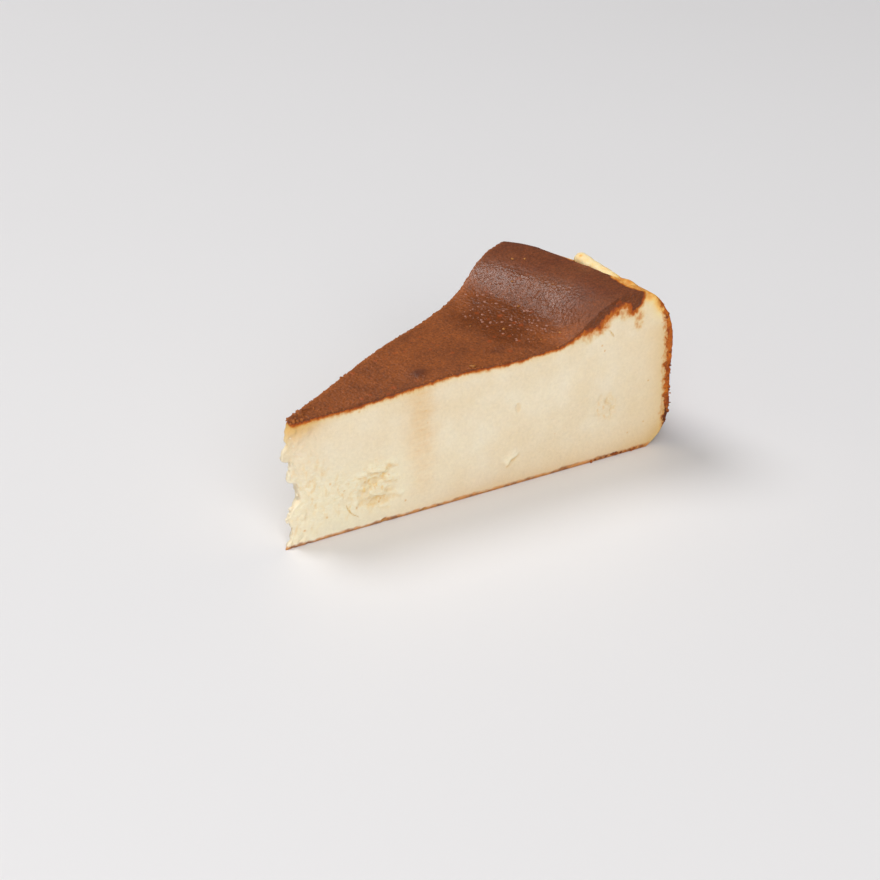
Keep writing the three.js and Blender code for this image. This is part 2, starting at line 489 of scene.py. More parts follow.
# The wall, baked against crumpled paper: creases by turn, slant and height in mm.
wallMarks = {
    "creases": [
        (-0.62, 0.10, 0.4), (-0.28, -0.16, 0.7), (0.12, 0.08, 0.6), (0.41, 0.20, 0.4), (0.73, -0.12, 0.7),
    ],
    "creaseWidth": 1.1,
    "creaseWander": [(1.2, 9.0, 32), (0.4, 3.0, 35)],  # height and size in mm, and seed
    "dents": [(0.35, 9.0, 31)],
    "pores": [(1.0, 1.5, 33), (0.6, 0.9, 34)],
    "poreHeight": 0.2,
    "footFade": (0.3, 3.0),  # heights between which the relief comes in
    "shoulderCalm": (0.75, 40.0, 45.0),  # how much of it is lost at the shoulder, and between which heights
    # how golden the shoulder is, by turn
    "golden": [
        (-1.0, 0.75), (-0.86, 0.85), (-0.72, 1.0), (-0.52, 0.95), (-0.36, 0.5), (-0.1, 0.35), (0.2, 0.45),
        (1.0, 0.75),
    ],
    # the crust's thickness by height, below 0 where there is none
    "crust": [
        (0, -2.0), (4.5, -0.6), (7, 1.2), (11, 1.8), (30, 1.9), (36, 1.7), (40.5, 1.1), (43.5, 0.4),
        (46, -0.6),
    ],
}


def wallRelief(radius, turn, height, points):
    # Outward relief of the wall in mm: a sharp ridge for each paper crease, slow dents, and torn porous
    # crust. Also returns how near each point is to a ridge, from 0 to 1.
    relief = layeredNoise(points, wallMarks["dents"])
    wander = layeredNoise(points, wallMarks["creaseWander"])
    ridges = np.zeros(len(radius))
    for centre, slant, tall in wallMarks["creases"]:
        gap = np.abs((turn - centre - slant * (height / 24 - 1)) * (radius * halfAngle) + wander)
        ridge = np.exp(-gap / wallMarks["creaseWidth"])
        relief += tall * ridge
        ridges = np.maximum(ridges, ridge)
    return relief + wallMarks["poreHeight"] * layeredNoise(points, wallMarks["pores"]), ridges


def sliceCorners():
    # The corners of a box of cells that lie on its sides, as whole-number keys, and the faces between them.
    # At the point the cuts meet in one line, so its corners share a column.
    nOut, nRound, nUp = sliceShape["cells"]

    def key(i, j, k):
        return (i * (nRound + 1) + np.where(i == 0, 0, j)) * (nUp + 1) + k

    def sheet(corner, rows, columns, flip):
        a, b = np.meshgrid(np.arange(rows), np.arange(columns), indexing="ij")
        a, b = a.ravel(), b.ravel()
        quads = np.stack([corner(a, b), corner(a + 1, b), corner(a + 1, b + 1), corner(a, b + 1)], axis=1)
        return quads[:, ::-1] if flip else quads

    columns = sliceShape["baseColumns"]
    step = nRound // columns
    sheets = [
        sheet(lambda a, b: key(a, b, nUp), nOut, nRound, False),  # top
        sheet(lambda a, b: key(a, b * 0, b), nOut, nUp, False),  # near cut
        sheet(lambda a, b: key(a, b * 0 + nRound, b), nOut, nUp, True),  # far cut
        sheet(lambda a, b: key(a * 0 + nOut, a, b), nRound, nUp, False),  # wall
        sheet(lambda a, b: key(a, b * step, 0), nOut - 1, columns, True),  # base
    ]
    faces = []
    for quad in np.vstack(sheets).tolist():
        faces.append([corner for n, corner in enumerate(quad) if corner != quad[n - 1]])
    for column in range(0, nRound, step):  # the base's last strip meets every corner of the wall's foot
        foot = key(np.full(step + 1, nOut), np.arange(column, column + step + 1), 0).tolist()
        faces.append([int(key(nOut - 1, column, 0)), int(key(nOut - 1, column + step, 0))] + foot[::-1])
    everyCorner = np.concatenate([np.array(face) for face in faces])
    keys = np.unique(everyCorner)
    ends = np.cumsum([len(face) for face in faces])
    return keys, [part.tolist() for part in np.split(np.searchsorted(keys, everyCorner), ends[:-1])]


def shoulderSection(outlineRadius, outlineLevel):
    # The part of the wall's section above its widest point, as radius and level in growing order of radius.
    above = np.argmax(outlineRadius)
    return outlineRadius[above:][::-1], outlineLevel[above:][::-1]


# Where the browning lies on the slice, in mm and turns. A fade is given by where it starts and ends.
zones = {
    "skinEnd": 105.6,  # the skin's outer edge, then how much farther out it lies and the fade to that
    "skinSteps": [(1.6, -0.52, -0.44), (4.9, 0.05, 0.7)],
    "skinWander": (0.8, 1.6),  # fine and broad
    "fringe": 0.4,  # how far the browning soaks in, and more of it at the point and at the near crest
    "pointFringe": (0.4, 15.0, 60.0),
    "crestFringe": (1.2, 105.5, 3.0),  # how much, radius and half width
    "fray": (0.34, 1.1, 0.4, 0.8),  # height and size of the torn edge, and how far under the top it lies
    "topFollow": 1.5,  # how far down the cuts follow the top's relief, and in from the wall the wall's
    "wallFollow": 1.2,
    "golden": (3.0, 35.0, 42.0),  # how deep it goes, and the heights of its fade
    "upper": (33.0, 44.0),
    "foot": (9.5, 6.0),  # height and half height of the darker band at the wall's foot
    "dried": (6.0, 33.0, 42.0),  # how deep it goes, and the heights of its fade
    "base": (0.62, 0.3, 78.0, 96.0),  # thickness, how much more near the wall, and the fade to that
    "settled": (3.5, 15.0, 60.0),  # painted shade from the floor: how high it reaches, and the fade away from the point
    "crest": (81.0, 92.0),
    "sheen": (84.5, 89.5, 94.0, 99.0),  # two fades: to full and to none
    "nearSheen": (0.85, 0.25, 0.95),  # how much it loses towards the near cut, and the fade to that
    "warm": (2.0, 8.0),
    "yolk": (3.0, 17.0, 4.5),  # the fade away from the point, and how far under the top
}


def shapeSlice():
    # Each corner's place: out from the point to the wall, turned from the near to the far cut and raised to
    # its level, then moved by the relief of the side or sides that it lies on. Also returns what the looks
    # are painted by, in mm or as shares.
    s, z = sliceShape, zones
    nOut, nRound, nUp = s["cells"]
    keys, faces = sliceCorners()
    k = keys % (nUp + 1)
    j = keys // (nUp + 1) % (nRound + 1)
    i = keys // (nUp + 1) // (nRound + 1)
    outlineRadius, outlineHeight = wallOutline()
    outlineLevel = outlineHeight / s["near"]["crest"]

    pointCrowding, cutCrowding, topCrowding = s["crowding"]
    out = (i / nOut) ** pointCrowding
    share = 2 * j / nRound - 1
    turn = np.where(i == 0, 0, (1 - cutCrowding) * share + cutCrowding * np.sin(share * math.pi / 2))
    level = blend(1 - (1 - k / nUp) ** topCrowding, outlineLevel[k], smoothStep(out, 0.55, 1))
    radius = blend(tipRadius(level), outlineRadius[k], out)
    top = topHeight(radius, turn)
    height = level * top + foldHeight(radius, turn, level)
    swell = cutSwell(radius, level) * turn**3
    reach = np.hypot(radius, s["bluntness"])
    angle = halfAngle * turn
    flat = np.stack([radius * np.cos(angle), reach * np.sin(angle) + swell, height], axis=1)

    onTop = k == nUp
    cutShare = smoothStep(np.abs(turn), 0.9, 1.0) * (j % nRound == 0)
    side = np.where(turn < 0, -1.0, 1.0)

    def bySide(near, far):
        # the near cut's values on the near half, the far cut's on the far half
        return [np.where(turn < 0, a, b) for a, b in zip(near, far)]

    nearMarks, farMarks = cutMarks["near"], cutMarks["far"]

    # gaps in mm to the skin and to the wall
    rise = topHeight(radius + 0.5, turn) - topHeight(radius - 0.5, turn)
    shoulder = np.interp(radius, *shoulderSection(outlineRadius, outlineLevel))
    envelope = np.where(radius < outlineRadius[-1], 1.0, shoulder)
    underTop = np.maximum(envelope * top - level * top, 0) / np.sqrt(1 + rise**2)
    wallGap = np.maximum(np.interp(level, outlineLevel, outlineRadius) - radius, 0)

    # relief of the top, the wall and the cuts
    up, scorch = skinRelief(radius, turn, flat)
    outwards, ridges = wallRelief(radius, turn, height, flat)
    lost, *fade = wallMarks["shoulderCalm"]
    outwards = outwards * smoothStep(height, *wallMarks["footFade"]) * (1 - lost * smoothStep(height, *fade))
    cut = bySide(cutRelief(radius, height, nearMarks), cutRelief(radius, height, farMarks))
    frayHeight, fraySize, frayPlace, frayReach = z["fray"]
    frayed = gradientNoise(flat, fraySize, 51) * bell(underTop, frayPlace, frayReach) * frayHeight
    # curds: the folded noise gives round lumps with creases between them
    (curdHeight, curdSize), (crumbHeight, crumbSize) = tip["curds"]
    curdled = curdHeight * np.abs(gradientNoise(flat, curdSize, 52))
    curdled = curdled + crumbHeight * np.abs(gradientNoise(flat, crumbSize, 53)) - tip["curdSunk"]
    curdled = curdled * (1 - smoothStep(radius, *tip["curdReach"])) * smoothStep(underTop, 0.3, 2)
    curdled = np.maximum(curdled, -tip["curdLimit"] * reach * halfAngle)
    sideways = (cut[0] * smoothStep(underTop, 0.2, 1.4) + frayed + curdled) * cutShare
    sideways = sideways * smoothStep(height, -0.4, 0.5)

    place = flat.copy()
    up = up * np.exp(-underTop / z["topFollow"]) * (onTop | (cutShare > 0))
    place[:, 2] += up * smoothStep(outlineRadius[-1] + 6 - radius, 0, 6)
    place[:, 1] += sideways * side * math.cos(halfAngle)
    place[:, 0] -= sideways * math.sin(halfAngle)
    follow = outwards * np.exp(-wallGap / z["wallFollow"]) * (1 - 0.6 * onTop)
    place[:, 0] += follow * np.cos(angle)
    place[:, 1] += follow * np.sin(angle)
    place[:, 2] = np.where(k == 0, 0, np.maximum(place[:, 2], floorGap))

    # the skin's outer edge, and the gap to the skin or to what ran down from it
    noises = ((3.0, 61), (2.2, 62), (8.0, 63))  # size in mm and seed
    fine, wander, broad = (gradientNoise(flat, size, seed) for size, seed in noises)
    skinEnd = z["skinEnd"]
    for farther, start, end in z["skinSteps"]:
        skinEnd = skinEnd + farther * smoothStep(turn, start, end)
    fineWander, broadWander = z["skinWander"]
    wandering = blend(0.4, 1.0, smoothStep(turn, -0.1, 0.3))
    skinEnd = skinEnd + (fineWander * fine + broadWander * broad) * wandering
    skinGap = np.hypot(underTop, np.maximum(radius - skinEnd, 0))
    for cutSide, marked in ((nearMarks, turn < -0.98), (farMarks, turn > 0.98)):
        bled = bleedGap(radius, height, cutSide, wander)
        skinGap = np.where(marked, np.minimum(skinGap, bled), skinGap)

    # how far the browning soaks in
    more, *fade = z["pointFringe"]
    smearPlace, smearWidth, smearDepth = bySide(nearMarks["smear"], farMarks["smear"])
    fringe = z["fringe"] + more * (1 - smoothStep(radius, *fade))
    fringe = fringe + smearDepth * bell(radius, smearPlace, smearWidth)
    more, crestRadius, crestWidth = z["crestFringe"]
    fringe = fringe + more * bell(radius, crestRadius, crestWidth) * (turn < -0.9)
    fringe = np.maximum(fringe * (1 + 0.4 * fine), 0)

    # the wall and its shoulder
    deep, *fade = z["golden"]
    golden = np.exp(-np.minimum(underTop, wallGap) / deep) * smoothStep(radius, skinEnd - 1.0, skinEnd + 0.5)
    golden = golden * smoothStep(height, *fade)
    golden = golden * np.interp(turn, *zip(*wallMarks["golden"])) * (1 + 0.35 * fine)
    dried, *driedFade = z["dried"]
    thick, more, *fade = z["base"]
    baseGap = height - thick - more * smoothStep(radius, *fade) - 0.4 * wander
    settled, *paintedFloorShadeFade = z["settled"]

    # the top
    sheenStart, sheenFull, sheenFalling, sheenEnd = z["sheen"]
    sheen = smoothStep(radius + broad, sheenStart, sheenFull)
    sheen = sheen * (1 - smoothStep(radius + 1.6 * turn, sheenFalling, sheenEnd))
    lost, *fade = z["nearSheen"]
    sheen = sheen * (1 - lost * smoothStep(-turn, *fade))

    # the cuts
    warmPlace, warmWidth = bySide(nearMarks["warmBand"], farMarks["warmBand"])
    warm = bell(radius, warmPlace + 1.2 * fine, warmWidth) * smoothStep(height, *z["warm"])
    yolkStart, yolkEnd, yolkReach = z["yolk"]
    marks = {
        "skinGap": skinGap,
        "fringe": fringe,
        "crustGap": wallGap - np.interp(height, *zip(*wallMarks["crust"])),
        "golden": golden,
        "fold": np.maximum(ridges, bell(height, *z["foot"])) * (wallGap < 3),
        "upper": smoothStep(height, *z["upper"]) * smoothStep(turn, -0.95, -0.7),
        "dried": np.exp(-wallGap / dried) * (1 - smoothStep(height, *driedFade)),
        "edge": np.exp(-(1 - turn) * radius * halfAngle / 0.5) * onTop,
        "baseGap": baseGap,
        # painted shade from the floor, low down away from the point
        "settled": np.exp(-height / settled) * smoothStep(radius, *paintedFloorShadeFade),
        "wet": np.where(onTop & (cutShare == 0), wetness(radius, turn), 0.85 * smoothStep(underTop, 0, 0.6)),
        "scorch": scorch * onTop,
        "crest": smoothStep(radius + 2.5 * broad - 4 * smoothStep(-turn, 0.3, 0.9), *z["crest"]),
        "sheen": sheen,
        "stain": cut[1] * cutShare,
        "pale": cut[2] * cutShare,
        "warm": warm * cutShare,
        "torn": np.maximum(cut[6], 0.5 * (1 - smoothStep(radius, 1, 9))) * (1 - onTop),
        "tip": 0.5 * np.exp(-radius / 3),
        "yolk": (1 - smoothStep(radius, yolkStart, yolkEnd)) * bell(underTop, 0, yolkReach) * (1 - onTop),
    }
    for name, gap in zip(("crackGap", "speckGap", "sliverGap"), cut[3:6]):
        marks[name] = np.where(cutShare > 0, gap, 9)
    return place, faces, marks


def makePiece(name, place, faces, marks, material):
    # Puts points in mm from the cake's centre into a smooth mesh in metres, with a value at each point for
    # every mark.
    mesh = bpy.data.meshes.new(name)
    mesh.from_pydata(((place + (cakeCentre, 0, 0)) * metre).tolist(), [], faces)
    for mark, values in marks.items():
        layer = mesh.attributes.new(mark, "FLOAT", "POINT")
        layer.data.foreach_set("value", values.astype(np.float32))
    mesh.polygons.foreach_set("use_smooth", np.ones(len(mesh.polygons), bool))
    mesh.materials.append(material)
    mesh.update()
    piece = bpy.data.objects.new(name, mesh)
    bpy.context.scene.collection.objects.link(piece)
    return piece


def linear(hexColour):
    # sRGB hex to the linear colour that nodes take
    parts = [int(hexColour[n : n + 2], 16) / 255 for n in (1, 3, 5)]
    return [c / 12.92 if c <= 0.04045 else ((c + 0.055) / 1.055) ** 2.4 for c in parts] + [1.0]


def perMm(size):
    # texture scale on Object coordinates, in metres, for a pattern that repeats every size mm
    return 1 / (size * metre)


limits = ("From Min", "From Max", "To Min", "To Max")
pattern = ("Scale", "Detail", "Roughness")


def addNode(tree, kind, settings):
    # Adds a shader node. A setting's key is a property, or the name or number of an input, whose value is a
    # constant, a hex colour, or the node or output that feeds it. A tuple of keys takes a tuple of values,
    # and "stops" fills a colour ramp.
    node = tree.nodes.new("ShaderNode" + kind)
    each = {}
    for key, value in settings.items():
        each.update(zip(key, value) if isinstance(key, tuple) else {key: value})
    for key, value in each.items():
        if key == "stops":
            ramp = node.color_ramp
            while len(ramp.elements) < len(value):
                ramp.elements.new(0.5)
            for element, (position, colour) in zip(ramp.elements, value):
                element.position = position
                element.color = linear(colour)
            continue
        if isinstance(key, str) and hasattr(node, key):
            setattr(node, key, value)
            continue
        if isinstance(key, int):
            socket = node.inputs[key]
        else:
            socket = next(s for s in node.inputs if s.enabled and s.name == key)
        if isinstance(value, bpy.types.Node):
            value = next(s for s in value.outputs if s.enabled)
        if isinstance(value, bpy.types.NodeSocket):
            tree.links.new(value, socket)
        else:
            socket.default_value = linear(value) if isinstance(value, str) else value
    return node


def newMaterial(name):
    material = bpy.data.materials.new(name)
    material.use_nodes = True
    tree = material.node_tree
    tree.nodes.clear()
    return material, tree


# Burnt skin: milk sugar and protein browned under a hot grill. It gives a satin brown, greyer and matt on the
# crest, wet and bubbled below the rim, with a painted highlight along the sheen.
skinFinish = {
    "plateau": ("#965020", "#7d421c"),
    "crest": ("#6b3315", "#783e1b"),
    "patches": (perMm(16.0), 4.0, 0.6),  # a pattern: its size in mm, detail and roughness
    "paintedSheen": ("#9a7866", 0.12),  # painted highlight, a lighter grey tint where the sheen is: colour and strength
    "wet": "#6e350a",
    # a pattern, and how much it darkens and lightens the colour
    "mottles": [((perMm(1.4), 3.0, 0.7), 0.77, 1.23), ((perMm(0.5), 1.0), 0.78, 1.22)],
    "freckle": "#ac4c17",
    "freckleSpacing": 3.0,  # mm
    "freckleSizes": (0.35, 1.0, 0.0, 0.26),  # from the cells' random 0 to 1 to a share of the spacing
    "freckleEdge": (-0.08, 0.12, 0.0, 0.55),
    "crestFreckles": 0.25,  # how many are left there
    "scorch": "#452116",
    "edge": ("#b56426", 0.6),  # colour and strength
    # relief in mm
    "peel": (perMm(0.82), 2.0),
    "peelHeight": 0.3,
    "pimples": (-0.35, 0.8, 0.5),  # share of the peel's height, size and smoothness
    "bubbleHeight": 0.09,
    "bubbleSpacing": 1.6,
    "bubbleSizes": (0.3, 1.0, 0.02, 0.21),
    # roughness
    "plateauRoughness": 0.5,
    "crestRoughness": 0.66,
    "sheenRoughness": 0.27,
    "wetRoughness": 0.38,
}


def skinLook(tree, at, mark):
    f = skinFinish
    patches = addNode(tree, "TexNoise", {"Vector": at, pattern: f["patches"]})
    patchShare = addNode(tree, "MapRange", {"Value": patches, limits: (0.35, 0.65)})
    tones = []
    for light, dark in (f["plateau"], f["crest"]):
        tones.append(addNode(tree, "Mix", {"data_type": "RGBA", "Factor": patchShare, "A": light, "B": dark}))
    # painted highlight: the colour is lightened and greyed where the sheen falls
    paintedSheen, paintedSheenStrength = f["paintedSheen"]
    paintedSheenShare = addNode(tree, "Math", {"operation": "MULTIPLY", 0: mark["sheen"], 1: paintedSheenStrength})
    colour = tones[0]
    for share, tone in ((mark["crest"], tones[1]), (paintedSheenShare, paintedSheen), (mark["wet"], f["wet"])):
        colour = addNode(tree, "Mix", {"data_type": "RGBA", "Factor": share, "A": colour, "B": tone})

    shades = []
    for mottling, darkest, lightest in f["mottles"]:
        mottle = addNode(tree, "TexNoise", {"Vector": at, pattern: mottling})
        shades.append(addNode(tree, "MapRange", {"Value": mottle, limits: (0.3, 0.7, darkest, lightest)}))
    shade = addNode(tree, "Math", {"operation": "MULTIPLY", 0: shades[0], 1: shades[1]})
    colour = addNode(tree, "VectorMath", {"operation": "SCALE", 0: colour, "Scale": shade})

    # round freckles, each of a random size inside its cell, many of them none at all
    cells = addNode(tree, "TexVoronoi", {"Vector": at, "Scale": perMm(f["freckleSpacing"])})
    pick = addNode(tree, "SeparateColor", {0: cells.outputs["Color"]})
    size = addNode(tree, "MapRange", {"Value": pick, limits: f["freckleSizes"]})
    inside = addNode(tree, "Math", {"operation": "SUBTRACT", 0: size, 1: cells.outputs["Distance"]})
    freckle = addNode(tree, "MapRange", {"Value": inside, limits: f["freckleEdge"]})
    calm = addNode(tree, "MapRange", {"Value": mark["crest"], limits: (0.0, 1.0, 1.0, f["crestFreckles"])})
    freckleShare = addNode(tree, "Math", {"operation": "MULTIPLY", 0: freckle, 1: calm})
    edge, edgeStrength = f["edge"]
    edgeShare = addNode(tree, "Math", {"operation": "MULTIPLY", 0: mark["edge"], 1: edgeStrength})
    for share, tone in ((freckleShare, f["freckle"]), (mark["scorch"], f["scorch"]), (edgeShare, edge)):
        colour = addNode(tree, "Mix", {"data_type": "RGBA", "Factor": share, "A": colour, "B": tone})

    # the relief is grain and round pimples, with bubbles where it is wet
    pimpleHeight, pimpleSize, smoothness = f["pimples"]
    grain = addNode(tree, "TexNoise", {"Vector": at, pattern: f["peel"]})
    pimples = addNode(tree, "TexVoronoi", {
        "feature": "SMOOTH_F1", "Vector": at, "Scale": perMm(pimpleSize), "Smoothness": smoothness,
    })
    peel = addNode(tree, "Math", {
        "operation": "MULTIPLY_ADD", 0: pimples.outputs["Distance"], 1: pimpleHeight, 2: grain,
    })
    bubbles = addNode(tree, "TexVoronoi", {"Vector": at, "Scale": perMm(f["bubbleSpacing"])})
    bubblePick = addNode(tree, "SeparateColor", {0: bubbles.outputs["Color"]})
    bubbleSize = addNode(tree, "MapRange", {"Value": bubblePick, limits: f["bubbleSizes"]})
    bubble = addNode(tree, "MapRange", {
        "interpolation_type": "SMOOTHSTEP", "Value": bubbles.outputs["Distance"],
        limits: (0.0, bubbleSize, f["bubbleHeight"], 0.0),
    })
    bubbled = addNode(tree, "Math", {"operation": "MULTIPLY", 0: bubble, 1: mark["wet"]})
    height = addNode(tree, "Math", {"operation": "MULTIPLY_ADD", 0: peel, 1: f["peelHeight"], 2: bubbled})
    dry = (0.0, 1.0, f["plateauRoughness"], f["crestRoughness"])
    roughness = addNode(tree, "MapRange", {"Value": mark["crest"], limits: dry})
    for name in ("sheen", "wet"):
        roughness = addNode(tree, "Mix", {"Factor": mark[name], "A": roughness, "B": f[name + "Roughness"]})
    return colour, roughness, height


# Set custard: cream cheese, egg and cream, cut with a wet knife. It gives a moist ivory that light enters a
# millimetre or two, with a fine curd grain.
custardFinish = {
    "ivory": ("#f8ead0", "#f3e1c0"),
    "clouds": (perMm(15.0), 4.0, 0.55),  # a pattern: its size in mm, detail and roughness
    "warm": ("#ebc489", 0.35, 0.65, 0.4, 0.65),  # colour, and the limits of its share of the drawn pattern
    "streak": ("#e8b777", 0.64, 0.76, 0.0, 0.5),
    "drawn": (perMm(4.5), 4.0, 0.6),
    "drawnOut": 5.0,  # how much longer than high
    # the pale tone also carries painted light, on lifted flakes and low down near the point
    "pale": "#fff1d5",
    # ochre of the stains, also laid on as painted shade in hollows, bites, pits, creases and under flakes
    "stain": "#e8c57e",
    "blots": (perMm(1.8), 3.0),
    "blotShare": (0.42, 0.62, 0.2, 0.7),
    "yolk": "#dca63a",
    "grain": (perMm(0.9), 4.0, 0.65),
    "grainShade": (0.3, 0.7, 0.955, 1.045),
    # colour of a mark, how far from its middle it is full and gone, and its strength
    "gaps": {
        "crackGap": ("#cfa336", 0.05, 0.33, 0.85),
        "speckGap": ("#e3b35f", 0.15, 0.5, 0.8),
        # a dark line of painted shade inside each notch at the base
        "sliverGap": ("#6b3a16", 0.1, 0.32, 0.9),
    },
    "fleck": ("#f3cc80", 0.54, 0.7, 0.0, 0.7),
    "flecks": (perMm(1.3), 2.0),
    "fleckTall": 0.6,  # below 1 is taller than wide
    "dots": (7.0, 0.01, 0.055, 0.5),  # spacing in mm, the share of it where a dot is full and gone, strength
    "coarse": (perMm(2.4), 3.0, 0.6),
    "grainHeight": 0.11,
    "coarseHeight": 0.15,
    "curdSize": 1.5,
    "curdSmoothness": 0.15,
    "curdSlope": 0.2,  # radians
    "curdHeight": -0.2,
    "crease": (0.22, 0.45, 0.8),  # strength of the painted ochre shade between the curds, and where it starts and is full
    "roughness": 0.58,
}


def custardLook(tree, at, mark):
    f = custardFinish
    clouds = addNode(tree, "TexNoise", {"Vector": at, pattern: f["clouds"]})
    cloudShare = addNode(tree, "MapRange", {"Value": clouds, limits: (0.35, 0.65)})
    light, dark = f["ivory"]
    colour = addNode(tree, "Mix", {"data_type": "RGBA", "Factor": cloudShare, "A": light, "B": dark})

    # warm smears and streaks, drawn out level, then the paleness, partly painted light, the stains, partly
    # painted shade, and the yolk tint
    level = addNode(tree, "Mapping", {"Vector": at, "Scale": (1.0, 1.0, f["drawnOut"])})
    drawn = addNode(tree, "TexNoise", {"Vector": level, pattern: f["drawn"]})
    for tone, *share in (f["warm"], f["streak"]):
        share = addNode(tree, "MapRange", {"Value": drawn, limits: share})
        share = addNode(tree, "Math", {"operation": "MULTIPLY", 0: mark["warm"], 1: share})
        colour = addNode(tree, "Mix", {"data_type": "RGBA", "Factor": share, "A": colour, "B": tone})
    blot = addNode(tree, "TexNoise", {"Vector": at, pattern: f["blots"]})
    blotShare = addNode(tree, "MapRange", {"Value": blot, limits: f["blotShare"]})
    stainAndShadeShare = addNode(tree, "Math", {"operation": "MULTIPLY", 0: mark["stain"], 1: blotShare})
    for share, tone in ((mark["pale"], f["pale"]), (stainAndShadeShare, f["stain"]), (mark["yolk"], f["yolk"])):
        colour = addNode(tree, "Mix", {"data_type": "RGBA", "Factor": share, "A": colour, "B": tone})

    grain = addNode(tree, "TexNoise", {"Vector": at, pattern: f["grain"]})
    shade = addNode(tree, "MapRange", {"Value": grain, limits: f["grainShade"]})
    colour = addNode(tree, "VectorMath", {"operation": "SCALE", 0: colour, "Scale": shade})
    for name, (tone, full, gone, strength) in f["gaps"].items():
        share = addNode(tree, "MapRange", {"Value": mark[name], limits: (full, gone, strength, 0.0)})
        colour = addNode(tree, "Mix", {"data_type": "RGBA", "Factor": share, "A": colour, "B": tone})

    # yellow flecks where it is torn, a little taller than wide
    tall = addNode(tree, "Mapping", {"Vector": at, "Scale": (1.0, 1.0, f["fleckTall"])})
    flecks = addNode(tree, "TexNoise", {"Vector": tall, pattern: f["flecks"]})
    tone, *share = f["fleck"]
    fleck = addNode(tree, "MapRange", {"Value": flecks, limits: share})
    fleckShare = addNode(tree, "Math", {"operation": "MULTIPLY", 0: fleck, 1: mark["torn"]})
    colour = addNode(tree, "Mix", {"data_type": "RGBA", "Factor": fleckShare, "A": colour, "B": tone})
    # a few more specks of browned curd, each a small part of its cell
    spacing, full, gone, strength = f["dots"]
    cells = addNode(tree, "TexVoronoi", {"Vector": at, "Scale": perMm(spacing)})
    dot = addNode(tree, "MapRange", {"Value": cells.outputs["Distance"], limits: (full, gone, strength, 0.0)})
    tone = f["gaps"]["speckGap"][0]
    colour = addNode(tree, "Mix", {"data_type": "RGBA", "Factor": dot, "A": colour, "B": tone})

    coarse = addNode(tree, "TexNoise", {"Vector": at, pattern: f["coarse"]})
    height = addNode(tree, "Math", {"operation": "MULTIPLY", 0: grain, 1: f["grainHeight"]})
    height = addNode(tree, "Math", {
        "operation": "MULTIPLY_ADD", 0: coarse, 1: f["coarseHeight"], 2: height,
    })
    # torn custard breaks into curds, longer than tall, with painted shade in ochre in the creases between
    # them
    lengthened = addNode(tree, "Mapping", {
        "Vector": at, "Rotation": (0, f["curdSlope"], 0), "Scale": (1, 1, 2.0),
    })
    curds = addNode(tree, "TexVoronoi", {
        "feature": "SMOOTH_F1", "Vector": lengthened, "Scale": perMm(f["curdSize"]),
        "Smoothness": f["curdSmoothness"], "Detail": 1.0,
    })
    strength, *share = f["crease"]
    crease = addNode(tree, "MapRange", {"Value": curds.outputs["Distance"], limits: share})
    for factor in (mark["torn"], strength):
        crease = addNode(tree, "Math", {"operation": "MULTIPLY", 0: crease, 1: factor})
    # painted shade in the creases
    colour = addNode(tree, "Mix", {"data_type": "RGBA", "Factor": crease, "A": colour, "B": f["stain"]})
    lump = addNode(tree, "Math", {"operation": "MULTIPLY", 0: curds.outputs["Distance"], 1: mark["torn"]})
    height = addNode(tree, "Math", {"operation": "MULTIPLY_ADD", 0: lump, 1: f["curdHeight"], 2: height})
    return colour, f["roughness"], height


# Baked crust: the side dried and browned against paper, and torn where the paper came away. It gives a rough,
# porous orange brown, darker on its creases and in a band low on the wall.
crustFinish = {
    "stops": [(0.3, "#5f2604"), (0.42, "#a44908"), (0.53, "#cc6a12"), (0.66, "#db8828")],
    "patches": (perMm(9.0), 4.0, 0.6),  # a pattern: its size in mm, detail and roughness
    "tears": (perMm(1.6), 4.0, 0.7),
    "tearShare": 0.5,
    "foldDark": -0.16,  # how much a crease or the band low on the wall lowers the place on the stops
    "top": ("#6f3a1c", 0.6),  # colour and strength towards the top
    "pores": (perMm(0.9), 4.0, 0.6),
    "poreHeight": 0.5,  # mm
    "golden": [(0.1, "#ffe1a0"), (0.5, "#ffcb74"), (0.85, "#e5983a")],
    "edge": ("#d98a2e", 0.8),  # the custard's browning just under it
    "base": ("#dc9148", "#a05c2a"),
    "roughness": 0.7,
}


def crustLook(tree, at, mark):
    f = crustFinish
    patches, tears, pores = (
        addNode(tree, "TexNoise", {"Vector": at, pattern: f[name]}) for name in ("patches", "tears", "pores")
    )
    torn = addNode(tree, "Mix", {"Factor": f["tearShare"], "A": patches, "B": tears})
    torn = addNode(tree, "Math", {"operation": "MULTIPLY_ADD", 0: mark["fold"], 1: f["foldDark"], 2: torn})
    colour = addNode(tree, "ValToRGB", {"stops": f["stops"], "Fac": torn})
    top, strength = f["top"]
    topShare = addNode(tree, "Math", {"operation": "MULTIPLY", 0: mark["upper"], 1: strength})
    colour = addNode(tree, "Mix", {"data_type": "RGBA", "Factor": topShare, "A": colour, "B": top})
    height = addNode(tree, "Math", {"operation": "MULTIPLY", 0: pores, 1: f["poreHeight"]})
    return colour, f["roughness"], height


